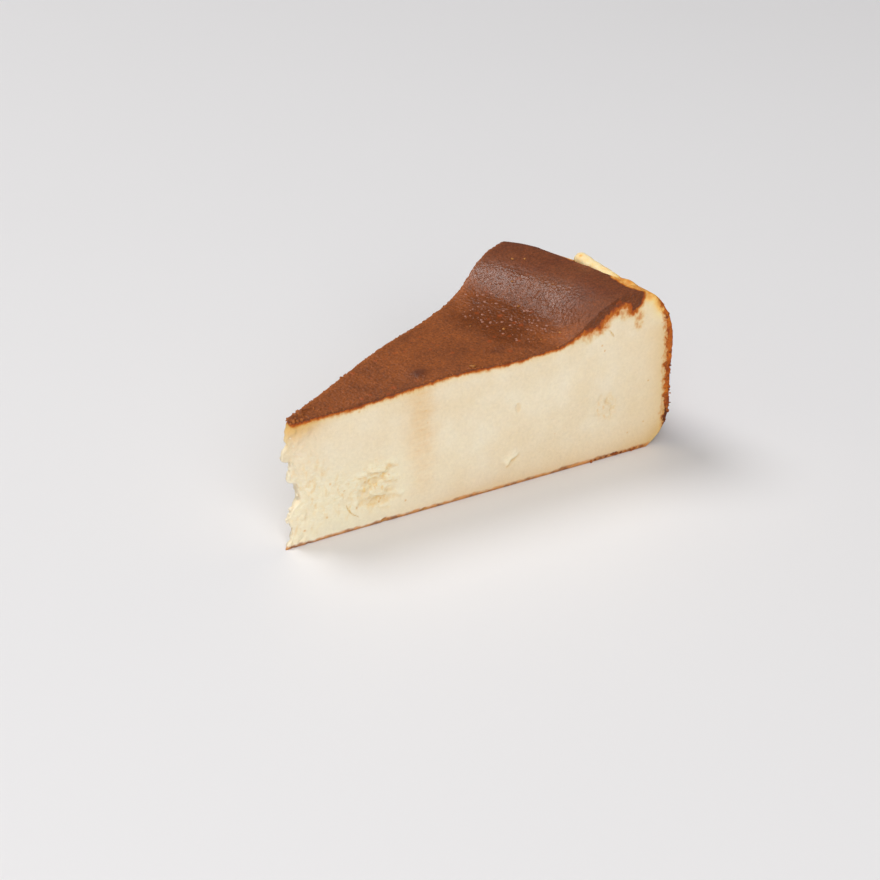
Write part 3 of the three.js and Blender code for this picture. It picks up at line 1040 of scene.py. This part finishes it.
# How deep the browning goes, in mm.
browning = {
    "fray": (perMm(1.1), 4.0, 0.65),  # the ragged edge's pattern: its size in mm, detail and roughness
    "frayStretch": 0.75,  # below 1 is taller than wide
    "frayWidth": (0.25, 0.5),  # for each mm of fringe, and at least
    "bleed": (perMm(2.6), 2.0, 0.5),  # a softer pattern that the orange follows
    "bleedWidth": (0.3, 0.45),
    "skin": (0.36, 0.28),
    "skinSoftness": (0.07, 0.1),
    "fringe": (1.05, 1.6),
    "fringeTones": [
        (0.0, "#863b09"), (0.2, "#b05008"), (0.42, "#d0791a"), (0.7, "#e8be72"), (1.0, "#f1dba9"),
    ],
    "glow": ("#edc67c", 0.36, 3.5),  # tint just under the skin, its strength and its depth
    "dried": ("#e0b45a", 0.78),  # tint inside the wall and its strength
    "settled": ("#dcb274", 0.6),  # painted shade from the floor, a darker tint just above the base
    "blotch": (perMm(3.0), 3.0),  # unevenness of the golden shoulder: size and detail
    "blotchShare": 1.2,
    "crustFray": 2.3,
    "baseFray": 0.4,
    "baseEdge": (-0.15, 0.4, 0.9),  # mm where it is full and gone, and strength
    "scorched": (perMm(3.0), 4.0, 0.6),
    "dryness": 0.9,  # how much less light enters the fringe
    "scatter": 0.55,
    "scatterRadius": (1.0, 0.93, 0.82),
    "scatterScale": 1.5,  # mm
}


def bakedCheesecake(marks):
    # Custard all through, with the skin over its top and the crust over its wall, each let in by its gap in
    # mm and a ragged noise, and a thin browned base.
    b = browning
    material, tree = newMaterial("bakedCheesecake")
    at = addNode(tree, "TexCoord", {}).outputs["Object"]
    mark = {name: addNode(tree, "Attribute", {"attribute_name": name}).outputs["Fac"] for name in marks}
    custard, custardRoughness, custardHeight = custardLook(tree, at, mark)
    skin, skinRoughness, skinHeight = skinLook(tree, at, mark)
    crust, crustRoughness, crustHeight = crustLook(tree, at, mark)

    # widths in mm that grow with the fringe
    widths = {}
    for name in ("frayWidth", "bleedWidth", "skin", "fringe", "skinSoftness"):
        each, least = b[name]
        widths[name] = addNode(tree, "Math", {
            "operation": "MULTIPLY_ADD", 0: mark["fringe"], 1: each, 2: least,
        })

    # the depth under the skin, with ragged tears in it, and the softer depth that the orange follows
    upright = addNode(tree, "Mapping", {"Vector": at, "Scale": (1.0, 1.0, b["frayStretch"])})
    ragged = addNode(tree, "TexNoise", {"Vector": upright, pattern: b["fray"]})
    fray = addNode(tree, "MapRange", {"Value": ragged, limits: (0.25, 0.75, -0.5, 0.5)})
    depth = addNode(tree, "Math", {
        "operation": "MULTIPLY_ADD", 0: fray, 1: widths["frayWidth"], 2: mark["skinGap"],
    })
    bleed = addNode(tree, "TexNoise", {"Vector": at, pattern: b["bleed"]})
    bleeding = addNode(tree, "MapRange", {"Value": bleed, limits: (0.3, 0.7, -0.5, 0.5)})
    fringeDepth = addNode(tree, "Math", {
        "operation": "MULTIPLY_ADD", 0: bleeding, 1: widths["bleedWidth"], 2: depth,
    })

    # the custard's own browning inside the wall, under the skin and at the golden shoulder, and painted shade
    # just above the base
    colour = custard
    for name in ("dried", "settled"):
        tone, strength = b[name]
        share = addNode(tree, "Math", {"operation": "MULTIPLY", 0: mark[name], 1: strength})
        colour = addNode(tree, "Mix", {"data_type": "RGBA", "Factor": share, "A": colour, "B": tone})
    glowTone, strength, reach = b["glow"]
    glow = addNode(tree, "MapRange", {"Value": mark["skinGap"], limits: (0.0, reach, strength, 0.0)})
    blotch = addNode(tree, "TexNoise", {"Vector": at, pattern: b["blotch"]})
    blotched = addNode(tree, "Math", {
        "operation": "MULTIPLY_ADD", 0: blotch, 1: b["blotchShare"], 2: mark["golden"],
    })
    blotched = addNode(tree, "Math", {"operation": "SUBTRACT", 0: blotched, 1: b["blotchShare"] / 2})
    golden = addNode(tree, "ValToRGB", {"stops": crustFinish["golden"], "Fac": blotched})
    goldenShare = addNode(tree, "MapRange", {"Value": mark["golden"], limits: (0.05, 0.4)})

    # from the skin's underside the browning fades through orange and yellow to custard, over the fringe
    faded = addNode(tree, "MapRange", {"Value": fringeDepth, limits: (widths["skin"], widths["fringe"])})
    toasted = addNode(tree, "ValToRGB", {"stops": b["fringeTones"], "Fac": faded})
    fringeShare = addNode(tree, "MapRange", {"Value": faded, limits: (0.35, 1.0, 1.0, 0.0)})

    # the crust, and the custard browned just under it
    crustDepth = addNode(tree, "Math", {
        "operation": "MULTIPLY_ADD", 0: fray, 1: b["crustFray"], 2: mark["crustGap"],
    })
    crustEdge, strength = crustFinish["edge"]
    crustFringe = addNode(tree, "MapRange", {"Value": crustDepth, limits: (0.0, 1.0, strength, 0.0)})
    crustShare = addNode(tree, "MapRange", {"Value": crustDepth, limits: (-0.2, 0.1, 1.0, 0.0)})

    # the base
    lowered = addNode(tree, "Math", {
        "operation": "MULTIPLY_ADD", 0: fray, 1: b["baseFray"], 2: mark["baseGap"],
    })
    full, gone, strength = b["baseEdge"]
    baseShare = addNode(tree, "MapRange", {"Value": lowered, limits: (full, gone, strength, 0.0)})
    scorched = addNode(tree, "TexNoise", {"Vector": at, pattern: b["scorched"]})
    scorchedShare = addNode(tree, "MapRange", {"Value": scorched, limits: (0.47, 0.62)})
    light, dark = crustFinish["base"]
    base = addNode(tree, "Mix", {"data_type": "RGBA", "Factor": scorchedShare, "A": light, "B": dark})

    skinEdge = addNode(tree, "Math", {"operation": "ADD", 0: widths["skin"], 1: widths["skinSoftness"]})
    skinShare = addNode(tree, "MapRange", {"Value": depth, limits: (widths["skin"], skinEdge, 1.0, 0.0)})
    tints = [
        (glow, glowTone), (goldenShare, golden), (fringeShare, toasted), (crustFringe, crustEdge),
        (crustShare, crust), (baseShare, base), (skinShare, skin),
    ]
    for share, tint in tints:
        colour = addNode(tree, "Mix", {"data_type": "RGBA", "Factor": share, "A": colour, "B": tint})

    roughness, relief = custardRoughness, custardHeight
    covers = ((crustShare, crustRoughness, crustHeight), (skinShare, skinRoughness, skinHeight))
    for share, itsRoughness, itsHeight in covers:
        roughness = addNode(tree, "Mix", {"Factor": share, "A": roughness, "B": itsRoughness})
        relief = addNode(tree, "Mix", {"Factor": share, "A": relief, "B": itsHeight})
    bump = addNode(tree, "Bump", {"Height": relief, "Distance": metre, "Strength": 1.0})

    # light enters the custard only, less where it is browned or dry
    dryFringe = addNode(tree, "Math", {"operation": "MULTIPLY", 0: fringeShare, 1: b["dryness"]})
    browned = skinShare
    for share in (crustShare, mark["tip"], dryFringe):
        browned = addNode(tree, "Math", {"operation": "MAXIMUM", 0: browned, 1: share})
    scatter = addNode(tree, "MapRange", {"Value": browned, limits: (0.0, 1.0, b["scatter"], 0.0)})
    shader = addNode(tree, "BsdfPrincipled", {
        "Base Color": colour, "Roughness": roughness, "Normal": bump, "IOR": custardIor,
        "Subsurface Weight": scatter, "Subsurface Radius": b["scatterRadius"],
        "Subsurface Scale": b["scatterScale"] * metre,
    })
    addNode(tree, "OutputMaterial", {"Surface": shader})
    return material


def makeSlice():
    place, faces, marks = shapeSlice()
    piece = makePiece("basque_cheesecake_slice", place, faces, marks, bakedCheesecake(marks))
    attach(piece, "root")
    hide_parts("cheesecake_slice")


makeSlice()
print("slice made")


def lumpShape():
    # A ball of 24 quads: the 26 outer points of a 3 by 3 by 3 grid, each moved to a distance of 1.
    points = np.array([p for p in np.ndindex(3, 3, 3) if p != (1, 1, 1)]) - 1.0
    places = {tuple(p): n for n, p in enumerate(points.astype(int).tolist())}
    faces = []
    for axis, side, a, b in [(x, y, *ab) for x in range(3) for y in (-1, 1) for ab in np.ndindex(2, 2)]:
        quad = [[a + u - 1, b + v - 1] for u, v in ((0, 0), (1, 0), (1, 1), (0, 1))]
        for corner in quad:
            corner.insert(axis, side)
        if (side < 0) != (axis == 1):
            quad.reverse()
        faces.append([places[tuple(corner)] for corner in quad])
    return points / np.linalg.norm(points, axis=1, keepdims=True), np.array(faces)


def onSlice(radius, turn, height):
    # place in mm of a point given by its distance from the cake's centre, its turn and its height
    angle = halfAngle * turn
    return np.stack([radius * np.cos(angle), radius * np.sin(angle), height], axis=1)


def onSkin(radius, turn):
    # place in mm on the finished top
    place = onSlice(radius, turn, topHeight(radius, turn))
    place[:, 2] += skinRelief(radius, turn, place)[0]
    return place


lumpUnevenness = (0.82, 1.12)  # how far in and out its points are pulled


def scatterLumps(name, places, sizes, seed, material, level=False):
    # Each lump is the ball with every point pulled in or out at random, stretched to its half widths in mm,
    # turned at random, only about the upright if level, and moved to its place.
    rng = np.random.default_rng(seed)
    ball, quads = lumpShape()
    count = len(places)
    lump = ball * rng.uniform(*lumpUnevenness, (count, len(ball), 1)) * sizes[:, None, :]
    turns = np.linalg.qr(rng.normal(size=(count, 3, 3)))[0]
    if level:
        angle = rng.uniform(0, math.tau, count)
        turns = np.zeros((count, 3, 3))
        turns[:, 0, 0] = turns[:, 1, 1] = np.cos(angle)
        turns[:, 1, 0] = np.sin(angle)
        turns[:, 0, 1] = -np.sin(angle)
        turns[:, 2, 2] = 1
    turns *= np.sign(np.linalg.det(turns))[:, None, None]
    place = (np.einsum("nij,npj->npi", turns, lump) + places[:, None, :]).reshape(-1, 3)
    place[:, 2] = np.maximum(place[:, 2], floorGap)
    faces = quads + len(ball) * np.arange(count)[:, None, None]
    piece = makePiece(name, place, faces.reshape(-1, 4).tolist(), {}, material)
    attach(piece, "root")


def toastedCrumb(name, dark, light, roughness):
    # Dry crumbs of the browned skin or crust: matt, each a shade of its own, with a fine grit.
    material, tree = newMaterial(name)
    at = addNode(tree, "TexCoord", {}).outputs["Object"]
    shade = addNode(tree, "TexNoise", {"Vector": at, pattern: (perMm(1.6), 3.0)})
    share = addNode(tree, "MapRange", {"Value": shade, limits: (0.35, 0.65)})
    colour = addNode(tree, "Mix", {"data_type": "RGBA", "Factor": share, "A": dark, "B": light})
    grit = addNode(tree, "TexNoise", {"Vector": at, pattern: (perMm(0.3), 2.0)})
    bump = addNode(tree, "Bump", {"Height": grit, "Distance": 0.1 * metre})
    shader = addNode(tree, "BsdfPrincipled", {
        "Base Color": colour, "Roughness": roughness, "Normal": bump, "IOR": custardIor,
    })
    addNode(tree, "OutputMaterial", {"Surface": shader})
    return material


# Crumbs along the top edges of the cuts, where the knife broke the skin, and curls of it at the point, in mm.
skinCrumbs = {
    "edges": [(1.0, 34, 1.8), (-1.0, 30, 1.2)],  # turn, how many, and how strongly they gather at the point
    "reach": (2.5, 84.0),  # mm from the cake's centre
    "size": (0.12, 0.27),
    "pointSize": (1.1, 15.0),  # how much larger they are at the point, and the radius that fades over
    "outwards": (0.12, 0.064),  # how far off the cut they lie on average, and how much that varies
    "upwards": (-0.17, 0.096),
    "curls": 16,
    "curlReach": (2.0, 12.0),
    "curlShape": (0.6, 0.2, 0.2),
    "tones": ("#864819", "#b0652a"),
    "roughness": 0.55,
    "seed": 71,
}


def makeSkinCrumbs(settings):
    rng = np.random.default_rng(settings["seed"])
    start, end = settings["reach"]
    turn = np.concatenate([np.full(count, edge) for edge, count, gather in settings["edges"]])
    gather = np.concatenate([np.full(count, gather) for edge, count, gather in settings["edges"]])
    radius = start + (end - start) * rng.uniform(0, 1, len(turn)) ** gather
    larger, fading = settings["pointSize"]
    size = rng.uniform(*settings["size"], len(turn)) * (1 + larger * np.exp(-radius / fading))
    edges = onSkin(radius, turn)
    edges[:, 1] += turn * rng.normal(*settings["outwards"], len(turn))
    edges[:, 2] += rng.normal(*settings["upwards"], len(turn))
    curlRadius = rng.uniform(*settings["curlReach"], settings["curls"])
    curls = onSkin(curlRadius, rng.uniform(-0.9, 0.9, settings["curls"]))
    sizes = np.vstack([
        size[:, None] * rng.uniform(0.7, 1.4, (len(turn), 3)),
        rng.uniform(0.8, 1.3, (settings["curls"], 1)) * settings["curlShape"],
    ])
    material = toastedCrumb("toastedSkinCrumb", *settings["tones"], settings["roughness"])
    scatterLumps("skin_crumbs", np.vstack([edges, curls]), sizes, settings["seed"] + 1, material)


# Beads of butterfat that bubbled out of the wet ring below the rim: smooth and glossy, with a paler colour
# that is a painted glint.
skinBubbles = {
    "count": 150,
    "zone": (80.5, 0.05, 10.0, 0.9),  # radius and turn of its middle, then its half widths
    "size": (0.2, 0.58),  # half width in mm
    "flatness": 0.45,
    "sunk": 0.35,
    # paler than the skin: a painted glint
    "tone": "#a8735f",
    "roughness": 0.3,
    "ior": 1.46,  # butterfat
    "seed": 91,
}


def makeSkinBubbles(settings):
    # a bubble is kept where the skin's wetness beats a random share, so they thin out at the ring's edges
    rng = np.random.default_rng(settings["seed"])
    middle, turnMiddle, spread, turnSpread = settings["zone"]
    radius = middle + spread * (0.15 + 0.85 * rng.uniform(-1, 1, settings["count"]))
    turn = turnMiddle + 1.2 * turnSpread * rng.uniform(-1, 1, settings["count"])
    kept = wetness(radius, turn) > rng.uniform(0.1, 0.9, settings["count"])
    places = onSkin(radius[kept], turn[kept])
    size = settings["size"][0] + np.ptp(settings["size"]) * rng.uniform(0, 1, len(places)) ** 2
    sizes = size[:, None] * rng.uniform(0.85, 1.2, (len(places), 3))
    sizes[:, 2] *= settings["flatness"]
    places[:, 2] -= settings["sunk"] * sizes[:, 2]
    material, tree = newMaterial("butterfatBead")
    shader = addNode(tree, "BsdfPrincipled", {
        "Base Color": settings["tone"], "Roughness": settings["roughness"], "IOR": settings["ior"],
    })
    addNode(tree, "OutputMaterial", {"Surface": shader})
    scatterLumps("skin_bubbles", places, sizes, settings["seed"] + 1, material, level=True)


# Flecks of lighter, toasted curd stuck to the skin: radius, turn, half length.
skinFlecks = {
    "places": [
        (86.1, 0.1, 0.75), (75.9, -0.12, 0.75), (98.3, 0.63, 0.6), (100.1, 0.51, 0.6), (94.6, -0.1, 0.5),
        (91.3, 0.41, 0.5), (84.7, -0.76, 0.6), (55.0, -0.95, 1.0), (79.5, -0.7, 0.4), (71.0, 0.3, 0.35),
    ],
    "shape": (1.0, 0.6, 0.4),
    "tones": ("#8f5322", "#bd7c3a"),
    "roughness": 0.35,
    "seed": 95,
}


def makeSkinFlecks(settings):
    radius, turn, size = np.array(settings["places"]).T
    material = toastedCrumb("toastedCurdFleck", *settings["tones"], settings["roughness"])
    sizes = size[:, None] * settings["shape"]
    scatterLumps("skin_flecks", onSkin(radius, turn), sizes, settings["seed"], material, level=True)


# Flakes of crust still hanging on where the baking paper and the knife pulled at the wall's edges.
crustFlakes = {
    "nearShare": 0.6,  # how many of them are on the near cut
    "count": 150,
    "heights": (6.0, 42.5),  # mm
    "standOut": 0.2,
    "baseCount": 46,
    "baseHeights": (0.3, 0.8),
    "baseReach": (80.0, 111.0),  # mm from the cake's centre, thicker towards the wall
    "sideways": (-0.2, 0.12),  # how far in and out of the cut
    "size": (0.18, 0.5),
    "tones": ("#74330c", "#c46a1f"),
    "roughness": 0.65,
    "seed": 81,
}


def makeCrustFlakes(settings):
    # on the cuts' edges of the crust, across its thickness, standing up to half out of it
    rng = np.random.default_rng(settings["seed"])
    count = settings["count"]
    turn = np.where(rng.uniform(size=count) < settings["nearShare"], -1.0, 1.0)
    height = rng.uniform(*settings["heights"], count)
    outlineRadius, outlineHeight = wallOutline()
    thickness = np.maximum(np.interp(height, *zip(*wallMarks["crust"])), 0.3) + 0.3
    radius = np.interp(height, outlineHeight, outlineRadius) + settings["standOut"]
    radius = radius - thickness * rng.uniform(0, 1, count) ** 1.5
    baseTurn = np.where(rng.uniform(size=settings["baseCount"]) < settings["nearShare"], -1.0, 1.0)
    baseRadius = blend(*settings["baseReach"], rng.uniform(0, 1, settings["baseCount"]) ** 0.4)
    turn, count = np.concatenate([turn, baseTurn]), count + settings["baseCount"]
    radius = np.concatenate([radius, baseRadius])
    height = np.concatenate([height, rng.uniform(*settings["baseHeights"], settings["baseCount"])])
    places = onSlice(radius, turn, height)
    sideways = rng.uniform(*settings["sideways"], count) * blend(2.0, 1.0, smoothStep(height, 1, 4))
    places[:, 1] += turn * sideways
    sizes = rng.uniform(*settings["size"], (count, 1)) * rng.uniform(0.3, 1.7, (count, 3))
    material = toastedCrumb("tornCrustFlake", *settings["tones"], settings["roughness"])
    scatterLumps("crust_flakes", places, sizes, settings["seed"] + 1, material)


# Curds of custard that the knife left standing along the point.
tipCurds = {
    "count": 55,
    "levels": (0.02, 0.94),
    "depth": 5,  # mm from the point's edge, most of them close to it
    "size": (0.2, 0.55),
    "tone": "#f9ecd0",
    "roughness": 0.6,
    "seed": 85,
}


def makeTipCurds(settings):
    rng = np.random.default_rng(settings["seed"])
    count = settings["count"]
    level = rng.uniform(*settings["levels"], count)
    turn = rng.uniform(-1, 1, count)
    radius = tipRadius(level) + rng.uniform(0.0, 1.0, count) ** 2 * settings["depth"]
    places = onSlice(radius, turn * 1.05, level * topHeight(radius, turn))
    sizes = rng.uniform(*settings["size"], (count, 1)) * rng.uniform(0.6, 1.3, (count, 3))
    material, tree = newMaterial("looseCustardCurd")  # the same custard, drier
    shader = addNode(tree, "BsdfPrincipled", {
        "Base Color": settings["tone"], "Roughness": settings["roughness"], "IOR": custardIor,
    })
    addNode(tree, "OutputMaterial", {"Surface": shader})
    scatterLumps("tip_curds", places, sizes, settings["seed"] + 1, material)


# The lip of custard that had crept into the fold of the baking paper, blunt at one end.
foldLip = {
    # turn, distance from the cake's centre, height of its top and thickness, in mm
    "path": [
        (0.08, 109.0, 49.3, 3.3), (0.0, 109.0, 49.35, 3.4), (-0.06, 108.9, 49.1, 3.2),
        (-0.12, 108.9, 48.65, 3.0), (-0.2, 108.8, 48.35, 2.9), (-0.31, 108.7, 48.0, 2.7),
        (-0.42, 108.6, 47.7, 2.5), (-0.52, 108.5, 47.35, 2.2), (-0.6, 108.4, 47.45, 2.3),
        (-0.7, 108.3, 47.9, 2.5), (-0.77, 108.3, 47.85, 2.5), (-0.84, 108.4, 47.3, 2.2),
        (-0.94, 108.6, 46.5, 1.2),
    ],
    "spread": 1.35,  # half width over half height
    "skirt": (1.1, 1.7),  # how far its outer side runs out and down onto the wall, in mm
    "cells": (150, 32),  # along and round
    "lumps": [(0.15, 3.2), (0.08, 1.6)],  # share of its thickness, and size in mm
    "toastSpot": (107.9, -0.02, 48.95, 0.65, 0.7),  # place, radius and strength of its one browned spot
    # how toasted it is along itself, by the turn below 0 where each step starts and ends
    "toastAlong": [(0.2, 0.0, 0.45), (0.5, 0.45, 0.62), (-0.25, 0.74, 0.9)],
    "toastOut": (0.5, 109.2, 112.8),  # and outwards, by the distance from the cake's centre
    "paintedUnderWarmth": (0.3, 0.8, 2.2),  # and below its top, in mm: painted warm light on its shaded underside
    "toastNoise": (0.22, 1.8),
    "tones": [(0.0, "#fee1ae"), (0.35, "#facf84"), (0.65, "#e69f44"), (1.0, "#cb7526")],
    "roughness": 0.5,
    "scatter": 0.5,
    "scatterRadius": (1.0, 0.8, 0.6),
    "scatterScale": 1.2,  # mm
    "seed": 66,
}


def makeFoldLip(settings):
    # Rings round a path at the outside of the crest, each an ellipse as high as the lip is thick. The
    # thickness closes in a quarter circle over its own half at the blunt end and slowly at the other, and is
    # made uneven by noise. The outer side is drawn out and down by the squared cosine of the angle round it.
    # The lip is toasted past the turn where the skin falls back and on its outer side, and painted warmer
    # below its top as warm light in its shade.
    turns, radii, tops, thicknesses = np.array(settings["path"]).T
    steps, around = settings["cells"]
    share = np.linspace(0, 1, steps + 1) ** 1.3
    turn = blend(turns[0], turns[-1], share)
    radius, top, thickness = (np.interp(-turn, -turns, values) for values in (radii, tops, thicknesses))
    travelled = (turns[0] - turn) * halfAngle * radius
    closing = 1 - np.clip(travelled / (thicknesses[0] * 0.5), 0, 1)
    half = thickness / 2 * np.sqrt(1 - closing**2) * np.sqrt(np.clip((1 - share) / 0.15, 0, 1))
    angle = np.arange(around) / around * math.tau
    ring = np.stack(np.broadcast_arrays(np.cos(angle)[None, :], np.sin(angle)[None, :]), axis=-1)
    centres = onSlice(radius, turn, top - thickness / 2)
    outwards = onSlice(np.ones(steps + 1), turn, np.zeros(steps + 1))
    reach = half[:, None, None] * ring * (settings["spread"], 1.0)
    skirt = np.minimum(half / 0.8, 1)[:, None, None] * np.maximum(ring[..., :1], 0) ** 2
    reach = reach + skirt * np.array(settings["skirt"]) * (1, -1)
    upwards = np.array([0, 0, 1.0])
    place = centres[:, None, :] + reach[..., :1] * outwards[:, None, :] + reach[..., 1:] * upwards
    lumpy = 1
    for n, (amount, size) in enumerate(settings["lumps"]):
        noise = gradientNoise(place.reshape(-1, 3), size, settings["seed"] + n)
        lumpy = lumpy + amount * noise.reshape(steps + 1, around, 1)
    place = centres[:, None, :] + (place - centres[:, None, :]) * lumpy
    # the first and the last ring are single points
    points = np.vstack([centres[:1], place[1:-1].reshape(-1, 3), centres[-1:]])
    row, column = np.meshgrid(np.arange(steps - 2), np.arange(around), indexing="ij")
    nextColumn = (column + 1) % around
    here, there = row * around + 1, (row + 1) * around + 1
    quads = np.stack([here + nextColumn, there + nextColumn, there + column, here + column], axis=-1)
    column = np.arange(around)
    last = len(points) - 1
    nextColumn = (column + 1) % around
    startCap = np.stack([1 + nextColumn, 1 + column, column * 0], axis=1)
    endCap = np.stack([last - around + column, last - around + nextColumn, column * 0 + last], axis=1)
    faces = quads.reshape(-1, 4).tolist() + startCap.tolist() + endCap.tolist()

    *spot, spotSize, strength = settings["toastSpot"]
    spotGap = np.linalg.norm(points - onSlice(*np.array(spot)[:, None]), axis=1)
    along = -np.arctan2(points[:, 1], points[:, 0]) / halfAngle
    outer = np.hypot(points[:, 0], points[:, 1])
    under = np.interp(along, -turns, tops) - points[:, 2]
    toast = strength * bell(spotGap, 0, spotSize)
    fades = [(along, *fade) for fade in settings["toastAlong"]]
    fades += [(outer, *settings["toastOut"]), (under, *settings["paintedUnderWarmth"])]
    for where, more, start, end in fades:
        toast = toast + more * smoothStep(where, start, end)
    strength, size = settings["toastNoise"]
    toast = toast + strength * gradientNoise(points, size, settings["seed"] + 2)
    material, tree = newMaterial("driedCustardLip")
    mark = addNode(tree, "Attribute", {"attribute_name": "toast"})
    colour = addNode(tree, "ValToRGB", {"stops": settings["tones"], "Fac": mark.outputs["Fac"]})
    shader = addNode(tree, "BsdfPrincipled", {
        "Base Color": colour, "Roughness": settings["roughness"], "IOR": custardIor,
        "Subsurface Weight": settings["scatter"], "Subsurface Radius": settings["scatterRadius"],
        "Subsurface Scale": settings["scatterScale"] * metre,
    })
    addNode(tree, "OutputMaterial", {"Surface": shader})
    piece = makePiece("paper_fold_lip", points, faces, {"toast": toast}, material)
    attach(piece, "root")


makeFoldLip(foldLip)
makeSkinCrumbs(skinCrumbs)
makeSkinBubbles(skinBubbles)
makeSkinFlecks(skinFlecks)
makeCrustFlakes(crustFlakes)
makeTipCurds(tipCurds)
print("lip, crumbs, bubbles, flakes and curds made")


# A plain pale floor and three soft lights.
studio = {
    "floor": ("#eceaea", "#e8e6e6"),
    "floorSize": 6.0,  # metres
    "floorRoughness": 0.55,
    "aimHeight": 0.02,  # where the lights look, in metres
    "world": ("#eef0f4", 0.15),
    # softboxes: direction from the slice, distance, width, watts and colour
    "lights": {
        "backSoftbox": ((-0.16, 0.52, 0.85), 2.4, 1.25, 30.0, "#ffffff"),
        "frontSoftbox": ((-0.45, -0.7, 0.6), 2.4, 2.0, 35.5, "#ffffff"),
        "overheadSoftbox": ((-0.25, -0.1, 1.0), 2.4, 2.2, 10.0, "#ffffff"),
    },
}


def makeStudio():
    s = studio
    size = s["floorSize"]
    mesh = bpy.data.meshes.new("floor")
    corners = [(-size, -size, 0), (size, -size, 0), (size, size, 0), (-size, size, 0)]
    mesh.from_pydata(corners, [], [(0, 1, 2, 3)])
    material, tree = newMaterial("mattFloor")  # a pale, evenly soft white with a faint mottle
    at = addNode(tree, "TexCoord", {}).outputs["Object"]
    mottle = addNode(tree, "TexNoise", {"Vector": at, "Scale": 3.0, "Detail": 3.0})
    light, dark = s["floor"]
    tint = addNode(tree, "Mix", {"data_type": "RGBA", "Factor": mottle, "A": light, "B": dark})
    shader = addNode(tree, "BsdfPrincipled", {"Base Color": tint, "Roughness": s["floorRoughness"]})
    addNode(tree, "OutputMaterial", {"Surface": shader})
    mesh.materials.append(material)
    floor = bpy.data.objects.new("floor", mesh)
    bpy.context.scene.collection.objects.link(floor)

    world = bpy.data.worlds.new("studio")
    world.use_nodes = True
    background = world.node_tree.nodes["Background"]
    background.inputs["Color"].default_value = linear(s["world"][0])
    background.inputs["Strength"].default_value = s["world"][1]
    bpy.context.scene.world = world

    middle = Vector((0, 0, s["aimHeight"]))
    for name, (direction, distance, width, watts, colour) in s["lights"].items():
        data = bpy.data.lights.new(name, "AREA")
        data.shape = "DISK"
        data.size = width
        data.energy = watts
        data.color = linear(colour)[:3]
        light = bpy.data.objects.new(name, data)
        towards = Vector(direction).normalized()
        light.location = middle + towards * distance
        light.rotation_euler = towards.to_track_quat("Z", "Y").to_euler()
        bpy.context.scene.collection.objects.link(light)


makeStudio()
bpy.context.scene.view_settings.view_transform = "Standard"
print("studio made")
